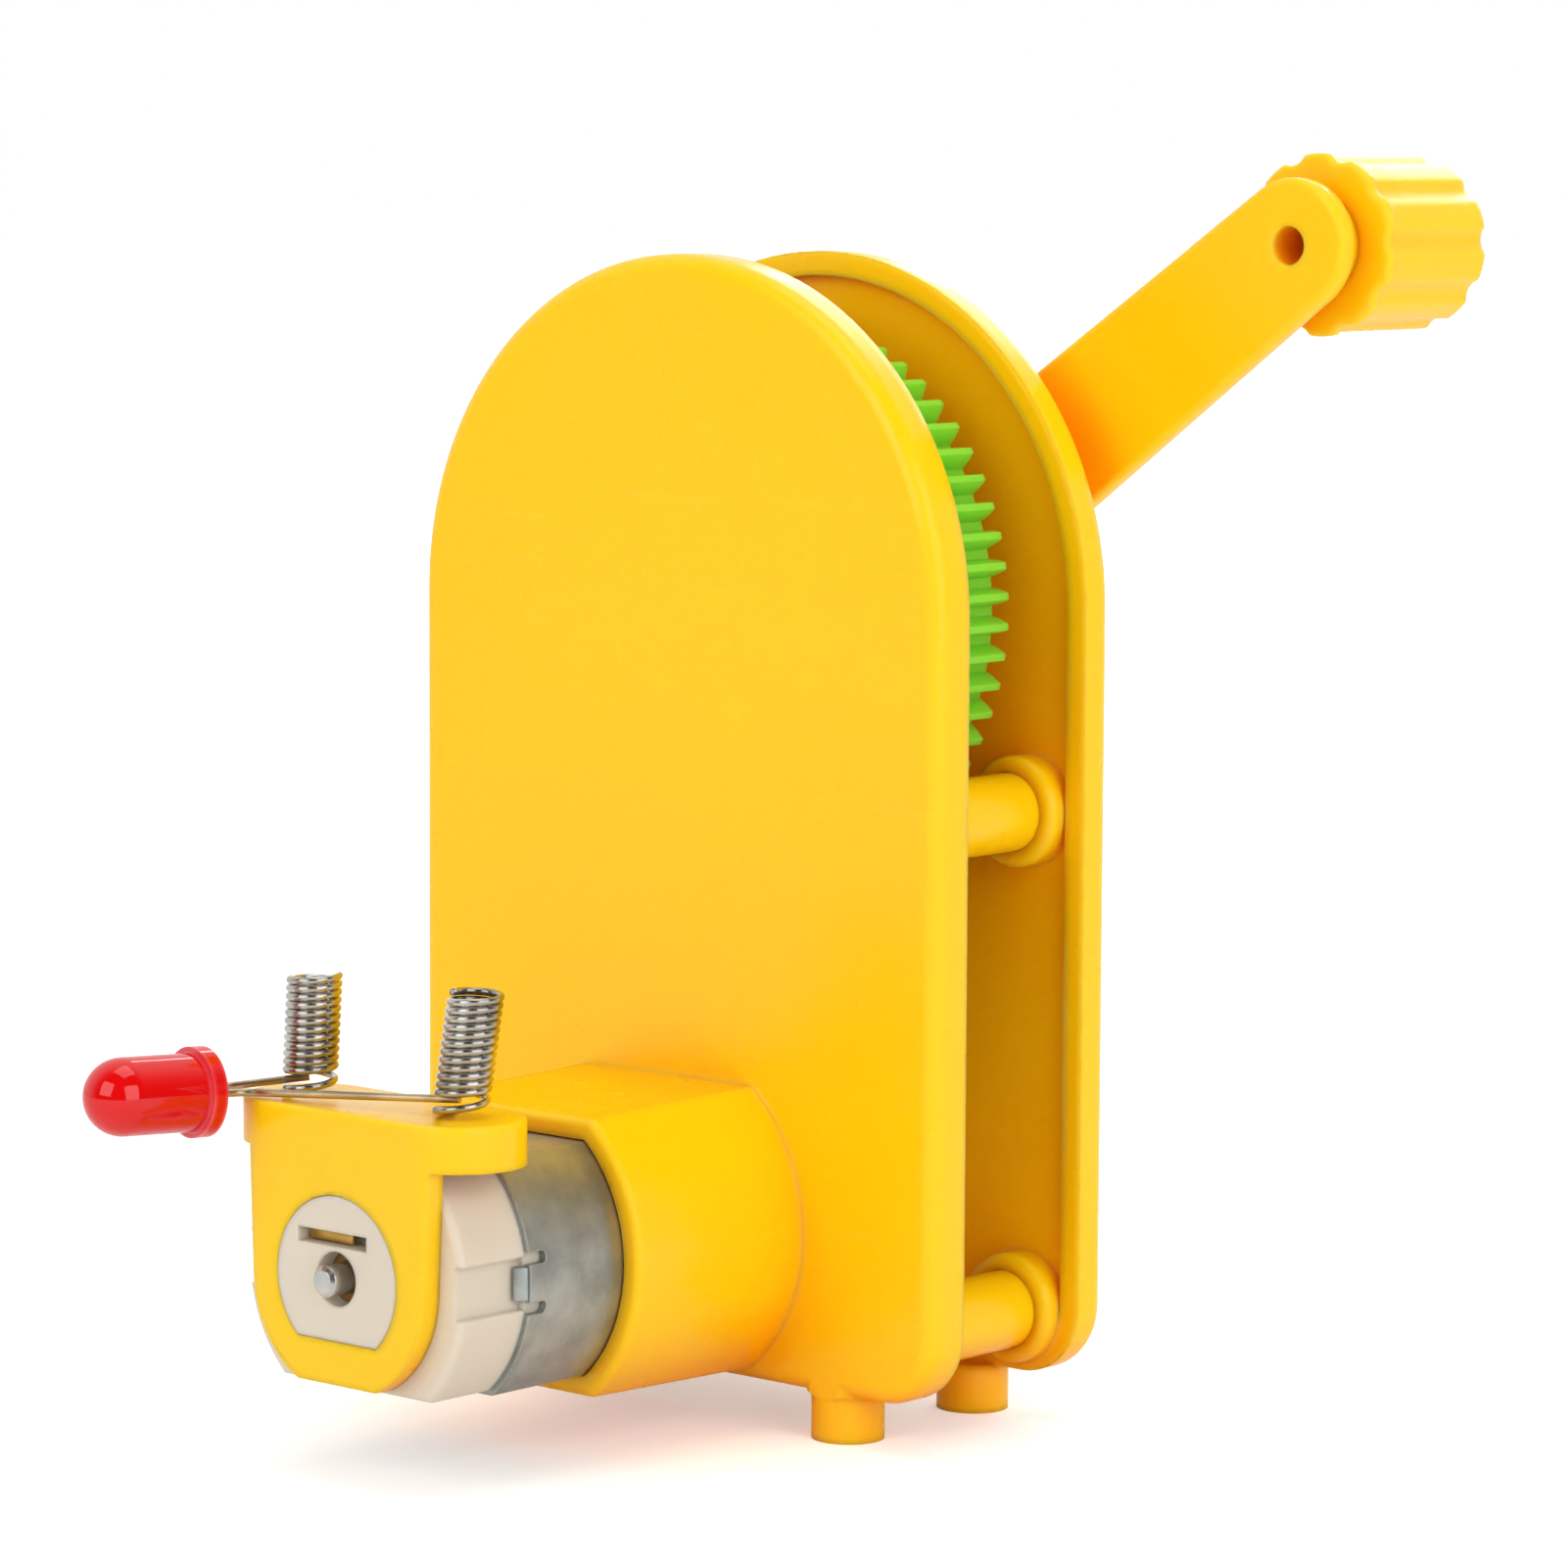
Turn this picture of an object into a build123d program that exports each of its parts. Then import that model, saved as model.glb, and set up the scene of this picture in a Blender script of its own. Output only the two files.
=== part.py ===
from build123d import *
import math
import os

# Hand crank generator. Millimetres, +Z up. The origin lies on the surface the four peg feet stand on,
# midway between them. +X is to the right seen from the motor side, +Y points to the crank.

# --- Casing -------------------------------------------------------------------------------------------
PLATE_WIDTH = 46.0            # both arch-shaped plates
AXIS_ABOVE_BOTTOM = 50.6      # crank axis, and centre of the arch, above the plates' bottom edge
CASE_DEPTH = 17.5             # outside face to outside face
PLATE_SKIN = 1.7              # wall behind the rim
FRONT_RIM_DEPTH = 3.0         # outside face of the front plate to the edge of its rim
BACK_RIM_DEPTH = 2.7
RIM_WALL = 1.6
CORNER_RADIUS = 4.8           # bottom corners of the plates
PLATE_EDGE_FILLET = 1.1
FOOT_HEIGHT = 3.15
FOOT_RADIUS = 2.4
FOOT_FLARE = 0.3              # widening where a foot joins its plate, and bevel where it stands free
FOOT_X = 13.75
POST_RADIUS = 2.6
POST_X = 17.6
POST_LOW_ABOVE_BOTTOM = 4.2
POST_HIGH_ABOVE_BOTTOM = 37.3
COLLAR_WALL = 1.05            # round collar on the back plate that takes a post's end
COLLAR_HEIGHT = 2.2
COLLAR_SOCKET = 1.1           # how far a post enters its collar
COLLAR_FILLET = 0.7
POST_FIT = 0.03               # radial gap of a post in its collar

# --- Gear train ---------------------------------------------------------------------------------------
PRESSURE_ANGLE = 20.0
TOOTH_SHIFT = 0.4             # profile shift: plus on the pinions, minus on the wheels
TOOTH_BACKLASH = 0.08         # each tooth is this much thinner than half the pitch
MODULE_CRANK = 0.625          # crank gear and idler pinion
MODULE_MOTOR = 0.5            # idler wheel and motor pinion
CRANK_TEETH = 58
IDLER_PINION_TEETH = 12
IDLER_WHEEL_TEETH = 62
MOTOR_PINION_TEETH = 12
CRANK_TOOTH_ANGLE = 3.1       # where one crank gear tooth points at rest, from +X towards +Z
CRANK_GEAR_WIDTH = 4.4
IDLER_WHEEL_WIDTH = 2.4
MOTOR_PINION_WIDTH = 3.6
CRANK_WEB_THICKNESS = 3.2
IDLER_WEB_THICKNESS = 0.9
RIM_UNDER_TEETH = 2.0         # ring of the crank gear inside the tooth roots
CRANK_HUB_RADIUS = 4.2
SPINDLE_RADIUS = 3.0          # crank gear spindle in the back plate
SPINDLE_FLAT = 2.25           # half width over the two flats that drive the arm
JOURNAL_RADIUS = 1.8          # front journal of the crank gear
RUNNING_FIT = 0.05            # radial gap of a turning shaft in its bore
END_PLAY = 0.3
BACK_BOSS_HEIGHT = 3.15       # crank bearing boss on the back plate
FRONT_BOSS_HEIGHT = 1.9       # crank journal boss on the front plate
BOSS_WALL = 1.7
BLIND_FLOOR = 0.8             # skin left under a blind bore in a plate
AXLE_RADIUS = 1.0             # idler axle pin
AXLE_BOSS_WALL = 1.5
IDLER_FRONT_BOSS_HEIGHT = 2.15
IDLER_BACK_BOSS_HEIGHT = 2.85
IDLER_HUB_RADIUS = 5.6

# --- Crank --------------------------------------------------------------------------------------------
ARM_LENGTH = 41.3             # crank axis to knob axis
ARM_ANGLE = 35.3              # arm at rest, above +X
ARM_STANDOFF = 4.15           # back plate to the arm's near face
ARM_THICKNESS = 1.5
ARM_HUB_RADIUS = 5.3
ARM_END_RADIUS = 4.35
ARM_EDGE_FILLET = 0.4
HUB_CAP_HEIGHT = 1.7          # raised ring round the hub screw
HUB_SCREW_HEAD_RADIUS = 2.8
HUB_SCREW_LENGTH = 8.0
KNOB_TUBE_RADIUS = 2.3        # tube on the arm that the knob turns on
KNOB_TUBE_BORE = 1.25
KNOB_SHOULDER_RADIUS = 3.3
KNOB_GAP = 1.7                # arm to knob
KNOB_LENGTH = 11.1
KNOB_RIM_RADIUS = 5.9         # raised rim at the knob's near end
KNOB_RIM_THICKNESS = 0.8
KNOB_RIM_FILLET = 0.25
KNOB_RADIUS = 5.65
KNOB_LOBES = 10
KNOB_LOBE_ANGLE = 21.0        # first lobe, above +X
KNOB_FLUTE_RADIUS = 1.2
KNOB_FLUTE_DEPTH = 0.4
KNOB_EDGE_FILLET = 0.6
KNOB_RECESS_RADIUS = 3.7      # pocket for the screw head in the knob's end
KNOB_RECESS_DEPTH = 1.9
KNOB_SCREW_HEAD_RADIUS = 3.0
KNOB_SCREW_LENGTH = 6.5
SCREW_HEAD_HEIGHT = 1.2
SELF_TAP_FIT = 0.05           # radial gap of a screw shank in its pilot hole

# --- Case screws --------------------------------------------------------------------------------------
CASE_SCREW_RADIUS = 0.95
CASE_SCREW_HEAD_RADIUS = 2.0
CASE_SCREW_HEAD_HEIGHT = 1.0
CASE_SCREW_LENGTH = 8.0
COUNTERBORE_DEPTH = 1.2
COUNTERBORE_GAP = 0.3

# --- Motor --------------------------------------------------------------------------------------------
CAN_RADIUS = 10.05
CAN_FLAT_HEIGHT = 15.1
CAN_LENGTH = 20.0
CAN_WALL = 0.5
CAN_BOSS_RADIUS = 3.1
CAN_BOSS_LENGTH = 1.6
CAN_PROUD = 8.35              # length of can in view beyond the housing's mouth
HOUSING_LENGTH = 15.2
HOUSING_WALL = 1.3
HOUSING_DRAFT = 1.4           # degrees
HOUSING_FIT = 0.1
HOUSING_EDGE_FILLET = 0.45
SEAT_GAP = 0.1
END_BELL_LENGTH = 5.6
END_BELL_SPIGOT = 3.0         # part of the end bell inside the can
END_BELL_INSET = 0.35         # end bell surface under the can's
END_BELL_WALL = 1.2
END_BELL_EDGE_FILLET = 0.5
SIDE_GROOVE_HALF_HEIGHT = 1.7
SIDE_GROOVE_DEPTH = 1.1
CRIMP_SLOT_WIDTH = 0.8
CRIMP_SLOT_LENGTH = 1.5
CRIMP_TAB_HALF_HEIGHT = 1.2
BELL_BOSS_RADIUS = 5.25
BELL_BOSS_FLAT = 3.95         # boss axis to its bottom flat
BOSS_SLOT_LENGTH = 6.1
BOSS_SLOT_HEIGHT = 0.95
BOSS_SLOT_X = -0.35
BOSS_SLOT_Z = 2.5             # above the motor axis
BOSS_SLOT_DEPTH = 1.9
SHAFT_RECESS_RADIUS = 1.75
SHAFT_RECESS_DEPTH = 1.2
SHAFT_RADIUS = 1.0
SHAFT_PROUD = 1.2             # shaft end beyond the boss
SHAFT_CHAMFER = 0.25
SHAFT_BEYOND_PINION = 0.4
BUSH_WALL = 0.9
BUSH_LENGTH = 1.8
CORE_RADIUS = 6.4
CORE_LENGTH = 8.6
CORE_HUB_RADIUS = 2.3
POLE_COUNT = 3
POLE_STEM = 2.2
POLE_SHOE_THICKNESS = 1.2
POLE_SHOE_ANGLE = 96.0
COIL_WIDTH = 4.6
COIL_END_TURN = 1.5
COIL_CLEARANCE = 0.05
MAGNET_GAP = 0.35
MAGNET_ANGLE = 84.0
MAGNET_LENGTH = 12.0
COMMUTATOR_RADIUS = 2.2
COMMUTATOR_SLEEVE_RADIUS = 1.6
COMMUTATOR_LENGTH = 3.0
COMMUTATOR_GAP = 0.3
BRUSH_THICKNESS = 0.3
BRUSH_GAP = 0.05

# --- Terminal bracket ---------------------------------------------------------------------------------
BRACKET_PLATE = 1.5
BRACKET_RADIUS = 7.6          # round lower part, about the motor axis
BRACKET_BOTTOM = 6.75         # motor axis to the flat bottom edge
BRACKET_TOP_HALF_WIDTH = 8.1
BRACKET_EDGE_FILLET = 0.25
BOSS_HOLE_FIT = 0.05
SHELF_ROUND = 4.2             # radius of the shelf's round ends
SHELF_THICKNESS = 2.9
SHELF_ROOF = 1.3
SHELF_WALL = 1.2
SHELF_LIFT = 0.07             # shelf's underside above the can's flat
TAB_THICKNESS = 0.4
TAB_WIDTH = 2.6
TAB_X = 3.2                   # where a tab leaves the end bell
TAB_REACH = 8.7
TAB_SLOT_FIT = 0.1

# --- Spring terminals ---------------------------------------------------------------------------------
SPRING_X = 6.7
SPRING_OUTER_RADIUS = 1.8
SPRING_WIRE = 0.5
SPRING_QUARTERS = 30          # quarter turns
SPRING_PITCH = 0.935
SPRING_LEFT_LEAN = 0.5        # how far the top stands over to +X
SPRING_RIGHT_LEAN = 1.4
SPRING_CLAMP_GAP = 0.4        # extra opening that holds an LED leg
SPRING_TAIL_BEND = 0.6
SPRING_TAIL_BELOW_TAB = 0.7
SPRING_TAIL_FIT = 0.1
SPRING_LEFT_START = -140.0    # direction of the first turn, seen from above
SPRING_RIGHT_START = 166.0

# --- LED ----------------------------------------------------------------------------------------------
LED_RADIUS = 2.5
LED_LENGTH = 8.5
LED_FLANGE_RADIUS = 2.9
LED_FLANGE_THICKNESS = 1.0
LED_FLAT = 2.5                # flange flat on the cathode side, from the axis
LED_LEG = 0.5
LED_LEG_SPACING = 2.54
LED_BASE_X = -9.95
LED_BASE_IN_FRONT = 1.95      # LED base in front of the bracket
LED_ABOVE_SHELF = 0.45
LED_HEADING = -99.5           # where the dome points, from +X towards +Y
LED_RISE = 2.5                # degrees the dome points up
LED_LEG_STRAIGHT = 2.4        # legs leave the base straight, then bend to the springs
LED_LEG_BEND = 1.6
LEFT_CLAMP_HEIGHT = 1.05      # leg in the left spring, above the shelf
RIGHT_CLAMP_HEIGHT = 1.12

# --- Places worked out from the sizes -----------------------------------------------------------------
Y_FRONT = -CASE_DEPTH / 2
Y_BACK = CASE_DEPTH / 2
FRONT_INSIDE = Y_FRONT + PLATE_SKIN
BACK_INSIDE = Y_BACK - PLATE_SKIN
CRANK_Z = FOOT_HEIGHT + AXIS_ABOVE_BOTTOM
IDLER_Z = CRANK_Z - MODULE_CRANK * (CRANK_TEETH + IDLER_PINION_TEETH) / 2
MOTOR_Z = IDLER_Z - MODULE_MOTOR * (IDLER_WHEEL_TEETH + MOTOR_PINION_TEETH) / 2
FOOT_Y = CASE_DEPTH / 2 - FOOT_RADIUS
POST_LOW = FOOT_HEIGHT + POST_LOW_ABOVE_BOTTOM
POST_HIGH = FOOT_HEIGHT + POST_HIGH_ABOVE_BOTTOM
POST_PLACES = [(x, z) for x in (-POST_X, POST_X) for z in (POST_LOW, POST_HIGH)]
COLLAR_Y = BACK_INSIDE - COLLAR_HEIGHT
POST_END = COLLAR_Y + COLLAR_SOCKET

CRANK_GEAR_BACK = BACK_INSIDE - BACK_BOSS_HEIGHT - END_PLAY
CRANK_GEAR_FRONT = CRANK_GEAR_BACK - CRANK_GEAR_WIDTH
CRANK_HUB_FRONT = FRONT_INSIDE + FRONT_BOSS_HEIGHT + END_PLAY
JOURNAL_END = Y_FRONT + BLIND_FLOOR + END_PLAY
IDLER_FRONT = FRONT_INSIDE + IDLER_FRONT_BOSS_HEIGHT + END_PLAY
IDLER_BACK = BACK_INSIDE - IDLER_BACK_BOSS_HEIGHT - END_PLAY
IDLER_WHEEL_BACK = IDLER_FRONT + IDLER_WHEEL_WIDTH
MOTOR_PINION_MIDDLE = IDLER_FRONT + IDLER_WHEEL_WIDTH / 2
MOTOR_PINION_BACK = MOTOR_PINION_MIDDLE + MOTOR_PINION_WIDTH / 2

ARM_NEAR = Y_BACK + ARM_STANDOFF
ARM_FAR = ARM_NEAR + ARM_THICKNESS
HUB_NEAR = Y_BACK + END_PLAY
HUB_FAR = ARM_FAR + HUB_CAP_HEIGHT
KNOB_X = ARM_LENGTH * math.cos(math.radians(ARM_ANGLE))
KNOB_Z = CRANK_Z + ARM_LENGTH * math.sin(math.radians(ARM_ANGLE))
KNOB_NEAR = ARM_FAR + KNOB_GAP
KNOB_FAR = KNOB_NEAR + KNOB_LENGTH
KNOB_TUBE_END = KNOB_FAR - KNOB_RECESS_DEPTH + END_PLAY

MOUTH_Y = Y_FRONT - HOUSING_LENGTH
CAN_BACK = MOUTH_Y - CAN_PROUD            # the end that faces the bracket
CAN_FRONT = CAN_BACK + CAN_LENGTH         # the end that faces the gears
BELL_BACK = CAN_BACK - END_BELL_LENGTH
BOSS_FACE = BELL_BACK - BRACKET_PLATE
SHAFT_END = BOSS_FACE - SHAFT_PROUD
SHAFT_FRONT = MOTOR_PINION_BACK + SHAFT_BEYOND_PINION
CORE_MIDDLE = (CAN_BACK + END_BELL_SPIGOT + CAN_FRONT) / 2
COMMUTATOR_BACK = CAN_BACK - COMMUTATOR_LENGTH / 2
SHELF_UNDER = MOTOR_Z + CAN_FLAT_HEIGHT / 2 + SHELF_LIFT
SHELF_TOP = SHELF_UNDER + SHELF_THICKNESS
SHELF_CEILING = SHELF_TOP - SHELF_ROOF
SHELF_Y = BOSS_FACE + SHELF_ROUND         # middle line of the shelf, through both springs
TAB_TOP = SHELF_CEILING - TAB_SLOT_FIT
LED_BASE_Y = BOSS_FACE - LED_BASE_IN_FRONT
LED_Z = SHELF_TOP + LED_ABOVE_SHELF

QUARTER = 0.25                # of a turn
GAP_SAMPLES = 24              # points on each quarter turn of a spring when its gap is measured


# --- Helpers ------------------------------------------------------------------------------------------
def slab(outline, y_from, y_to):
    """A solid with an X-Z outline between two depths."""
    return extrude(Plane.XZ.offset(-y_to) * outline, amount=y_to - y_from)


def rod(radius, y_from, y_to, x=0.0, z=0.0):
    """A round bar along Y."""
    return slab(Pos(x, z) * Circle(radius), y_from, y_to)


def tube(outer, inner, y_from, y_to, x=0.0, z=0.0):
    return rod(outer, y_from, y_to, x, z) - rod(inner, y_from, y_to, x, z)


def block(x_from, x_to, y_from, y_to, z_from, z_to):
    size = (x_to - x_from, y_to - y_from, z_to - z_from)
    middle = ((x_from + x_to) / 2, (y_from + y_to) / 2, (z_from + z_to) / 2)
    return Pos(*middle) * Box(*size)


def upright(radius, x, y, z_from, z_to):
    """A round bar along Z."""
    return Pos(x, y, (z_from + z_to) / 2) * Cylinder(radius, z_to - z_from)


def edges_at(shape, y):
    """The edges that lie wholly at one depth."""
    boxes = [(edge, edge.bounding_box()) for edge in shape.edges()]
    return [edge for edge, box in boxes if abs(box.min.Y - y) + abs(box.max.Y - y) < 1e-4]


def screw(head_radius, head_height, shank_radius, length, y_under_head, x=0.0, z=0.0):
    """A pan head screw whose shank points to -Y, with a cross recess in its head."""
    head = rod(head_radius, y_under_head, y_under_head + head_height, x, z)
    head = fillet(edges_at(head, y_under_head + head_height), 0.35 * head_height)
    shank = rod(shank_radius, y_under_head - length, y_under_head, x, z)
    shank = chamfer(edges_at(shank, y_under_head - length), 0.4 * shank_radius)
    arm = Rectangle(1.2 * head_radius, 0.24 * head_radius)
    cross = Pos(x, z) * (arm + Rot(0, 0, 90) * arm)
    return head + shank - slab(cross, y_under_head + 0.5 * head_height, y_under_head + head_height)


# --- Gears --------------------------------------------------------------------------------------------
def involute(angle):
    return math.tan(angle) - angle


def gear_outline(teeth, module, shift, tooth_angle):
    """A spur gear with one tooth at tooth_angle; each flank is the arc through three involute points."""
    pressure = math.radians(PRESSURE_ANGLE)
    pitch_r = module * teeth / 2
    base_r = pitch_r * math.cos(pressure)
    tip_r = pitch_r + module * (1 + shift)
    root_r = pitch_r - module * (1.25 - shift)
    thickness = module * (math.pi / 2 + 2 * shift * math.tan(pressure)) - TOOTH_BACKLASH
    half_at_base = thickness / (2 * pitch_r) + involute(pressure)
    start_r = max(base_r, root_r)

    def flank(radius, side, centre):
        spread = half_at_base - involute(math.acos(min(1.0, base_r / radius)))
        angle = centre + side * spread
        return (radius * math.cos(angle), radius * math.sin(angle))

    def at(radius, angle):
        return (radius * math.cos(angle), radius * math.sin(angle))

    step = 2 * math.pi / teeth
    middle_r = (start_r + tip_r) / 2
    lines = []
    for i in range(teeth):
        centre = math.radians(tooth_angle) + i * step
        rise = [flank(r, -1, centre) for r in (start_r, middle_r, tip_r)]
        fall = [flank(r, 1, centre) for r in (tip_r, middle_r, start_r)]
        root_from = centre + half_at_base - involute(math.acos(min(1.0, base_r / start_r)))
        root_to = centre + step - (root_from - centre)
        lines.append(ThreePointArc(*rise))
        lines.append(ThreePointArc(rise[2], at(tip_r, centre), fall[0]))
        lines.append(ThreePointArc(*fall))
        if root_r < start_r:
            lines.append(Line(fall[2], at(root_r, root_from)))
        root_angles = (root_from, (root_from + root_to) / 2, root_to)
        lines.append(ThreePointArc(*[at(root_r, angle) for angle in root_angles]))
        if root_r < start_r:
            lines.append(Line(at(root_r, root_to), at(start_r, root_to)))
    return make_face(Wire(lines))


def meshing_angle(own_teeth, other_teeth, other_angle, direction):
    """Tooth angle that meshes with another gear, which lies at the given direction from it to this one."""
    other_step = 360.0 / other_teeth
    other_phase = (direction - other_angle) / other_step
    return direction + 180.0 - (0.5 - other_phase) * 360.0 / own_teeth


DOWN = -90.0
IDLER_PINION_ANGLE = meshing_angle(IDLER_PINION_TEETH, CRANK_TEETH, CRANK_TOOTH_ANGLE, DOWN)
MOTOR_PINION_ANGLE = meshing_angle(MOTOR_PINION_TEETH, IDLER_WHEEL_TEETH, DOWN, DOWN)


def make_crank_gear():
    outline = gear_outline(CRANK_TEETH, MODULE_CRANK, -TOOTH_SHIFT, CRANK_TOOTH_ANGLE)
    gear = slab(outline, CRANK_GEAR_FRONT, CRANK_GEAR_BACK)
    root_r = MODULE_CRANK * (CRANK_TEETH / 2 - 1.25 - TOOTH_SHIFT)
    pocket = Circle(root_r - RIM_UNDER_TEETH) - Circle(CRANK_HUB_RADIUS)
    web_front = (CRANK_GEAR_FRONT + CRANK_GEAR_BACK - CRANK_WEB_THICKNESS) / 2
    gear -= slab(pocket, CRANK_GEAR_FRONT, web_front)
    gear -= slab(pocket, web_front + CRANK_WEB_THICKNESS, CRANK_GEAR_BACK)
    gear += rod(CRANK_HUB_RADIUS, CRANK_HUB_FRONT, CRANK_GEAR_BACK)
    gear += rod(JOURNAL_RADIUS, JOURNAL_END, CRANK_HUB_FRONT)
    gear += rod(SPINDLE_RADIUS, CRANK_GEAR_BACK, HUB_NEAR)
    drive_end = Circle(SPINDLE_RADIUS) & Rectangle(2 * SPINDLE_FLAT, 2 * SPINDLE_RADIUS)
    gear += slab(Rot(0, 0, ARM_ANGLE) * drive_end, HUB_NEAR, ARM_FAR - 2 * SELF_TAP_FIT)
    pilot = CASE_SCREW_RADIUS + SELF_TAP_FIT
    gear -= rod(pilot, ARM_FAR - HUB_SCREW_LENGTH - END_PLAY, ARM_FAR)
    return Pos(0, 0, CRANK_Z) * gear


def make_idler_gear():
    wheel = gear_outline(IDLER_WHEEL_TEETH, MODULE_MOTOR, -TOOTH_SHIFT, DOWN)
    pinion = gear_outline(IDLER_PINION_TEETH, MODULE_CRANK, TOOTH_SHIFT, IDLER_PINION_ANGLE)
    gear = slab(wheel, IDLER_FRONT, IDLER_WHEEL_BACK)
    root_r = MODULE_MOTOR * (IDLER_WHEEL_TEETH / 2 - 1.25 - TOOTH_SHIFT)
    pocket = Circle(root_r - RIM_UNDER_TEETH) - Circle(IDLER_HUB_RADIUS)
    gear -= slab(pocket, IDLER_FRONT + IDLER_WEB_THICKNESS, IDLER_WHEEL_BACK)
    gear += slab(pinion, IDLER_WHEEL_BACK, IDLER_BACK)
    gear -= rod(AXLE_RADIUS + RUNNING_FIT, IDLER_FRONT, IDLER_BACK)
    return Pos(0, 0, IDLER_Z) * gear


def make_motor_pinion():
    outline = gear_outline(MOTOR_PINION_TEETH, MODULE_MOTOR, TOOTH_SHIFT, MOTOR_PINION_ANGLE)
    outline -= Circle(SHAFT_RADIUS)
    return Pos(0, 0, MOTOR_Z) * slab(outline, MOTOR_PINION_BACK - MOTOR_PINION_WIDTH, MOTOR_PINION_BACK)


def make_idler_axle():
    pin = rod(AXLE_RADIUS, Y_FRONT + BLIND_FLOOR, Y_BACK - BLIND_FLOOR, 0, IDLER_Z)
    ends = edges_at(pin, Y_FRONT + BLIND_FLOOR) + edges_at(pin, Y_BACK - BLIND_FLOOR)
    return chamfer(ends, AXLE_RADIUS / 5)


# --- Casing -------------------------------------------------------------------------------------------
def arch(inset=0.0):
    """Outline of a plate: a panel with rounded bottom corners under a half circle."""
    half = PLATE_WIDTH / 2 - inset
    bottom = FOOT_HEIGHT + inset
    height = CRANK_Z - bottom
    panel = Pos(0, bottom + height / 2) * Rectangle(2 * half, height)
    panel = fillet(panel.vertices().sort_by(Axis.Y)[:2], CORNER_RADIUS - inset)
    return panel + Pos(0, CRANK_Z) * Circle(half)


def feet(y_middle, y_from, y_to):
    """Two peg feet, carried up into the plate between the two depths."""
    pegs = Part()
    for x in (-FOOT_X, FOOT_X):
        pegs += upright(FOOT_RADIUS, x, y_middle, 0, FOOT_HEIGHT - FOOT_FLARE)
        neck = Pos(x, y_middle, FOOT_HEIGHT - FOOT_FLARE / 2)
        pegs += neck * Cone(FOOT_RADIUS, FOOT_RADIUS - FOOT_FLARE, FOOT_FLARE)
        wide = FOOT_RADIUS + FOOT_FLARE
        flare = neck * Cone(FOOT_RADIUS, wide, FOOT_FLARE)
        root = flare + upright(wide, x, y_middle, FOOT_HEIGHT, FOOT_HEIGHT + RIM_WALL)
        pegs += root & block(x - wide, x + wide, y_from, y_to, 0, CRANK_Z)
    return pegs


def motor_outline(grow=0.0):
    """The can's outline, a circle with two flats, drawn about the motor axis."""
    half_height = CAN_FLAT_HEIGHT / 2 + grow
    return Circle(CAN_RADIUS + grow) & Rectangle(2 * (CAN_RADIUS + grow), 2 * half_height)


def make_housing():
    """The motor's holder: a drafted shell that grows towards the plate."""
    outline = Pos(0, MOTOR_Z) * motor_outline(HOUSING_FIT + HOUSING_WALL)
    mouth = Plane.XZ.offset(-MOUTH_Y) * outline
    shell = extrude(mouth, amount=MOUTH_Y - FRONT_INSIDE, taper=-HOUSING_DRAFT)
    return fillet(edges_at(shell, MOUTH_Y), HOUSING_EDGE_FILLET)


def make_front_shell():
    rim_end = Y_FRONT + FRONT_RIM_DEPTH
    shell = slab(arch(), Y_FRONT, rim_end)
    shell = fillet(edges_at(shell, Y_FRONT), PLATE_EDGE_FILLET)
    shell -= slab(arch(RIM_WALL), FRONT_INSIDE, rim_end)
    shell += make_housing()
    shell += feet(-FOOT_Y, Y_FRONT, rim_end)
    for x, z in POST_PLACES:
        shell += rod(POST_RADIUS, FRONT_INSIDE, POST_END, x, z)
        shell -= rod(CASE_SCREW_RADIUS + SELF_TAP_FIT, POST_END - CASE_SCREW_LENGTH, POST_END, x, z)
    journal_bore = JOURNAL_RADIUS + RUNNING_FIT
    shell += rod(journal_bore + BOSS_WALL, FRONT_INSIDE, FRONT_INSIDE + FRONT_BOSS_HEIGHT, 0, CRANK_Z)
    shell -= rod(journal_bore, Y_FRONT + BLIND_FLOOR, FRONT_INSIDE + FRONT_BOSS_HEIGHT, 0, CRANK_Z)
    idler_boss = FRONT_INSIDE + IDLER_FRONT_BOSS_HEIGHT
    shell += rod(AXLE_RADIUS + AXLE_BOSS_WALL, FRONT_INSIDE, idler_boss, 0, IDLER_Z)
    shell -= rod(AXLE_RADIUS, Y_FRONT + BLIND_FLOOR, idler_boss, 0, IDLER_Z)
    seat = CAN_FRONT + SEAT_GAP
    shell -= slab(Pos(0, MOTOR_Z) * motor_outline(HOUSING_FIT), MOUTH_Y, seat)
    shell -= rod(CAN_BOSS_RADIUS + HOUSING_FIT, seat, CAN_FRONT + CAN_BOSS_LENGTH + SEAT_GAP, 0, MOTOR_Z)
    shell -= rod(SHAFT_RADIUS + 2 * END_PLAY, seat, FRONT_INSIDE, 0, MOTOR_Z)
    return shell


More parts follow.
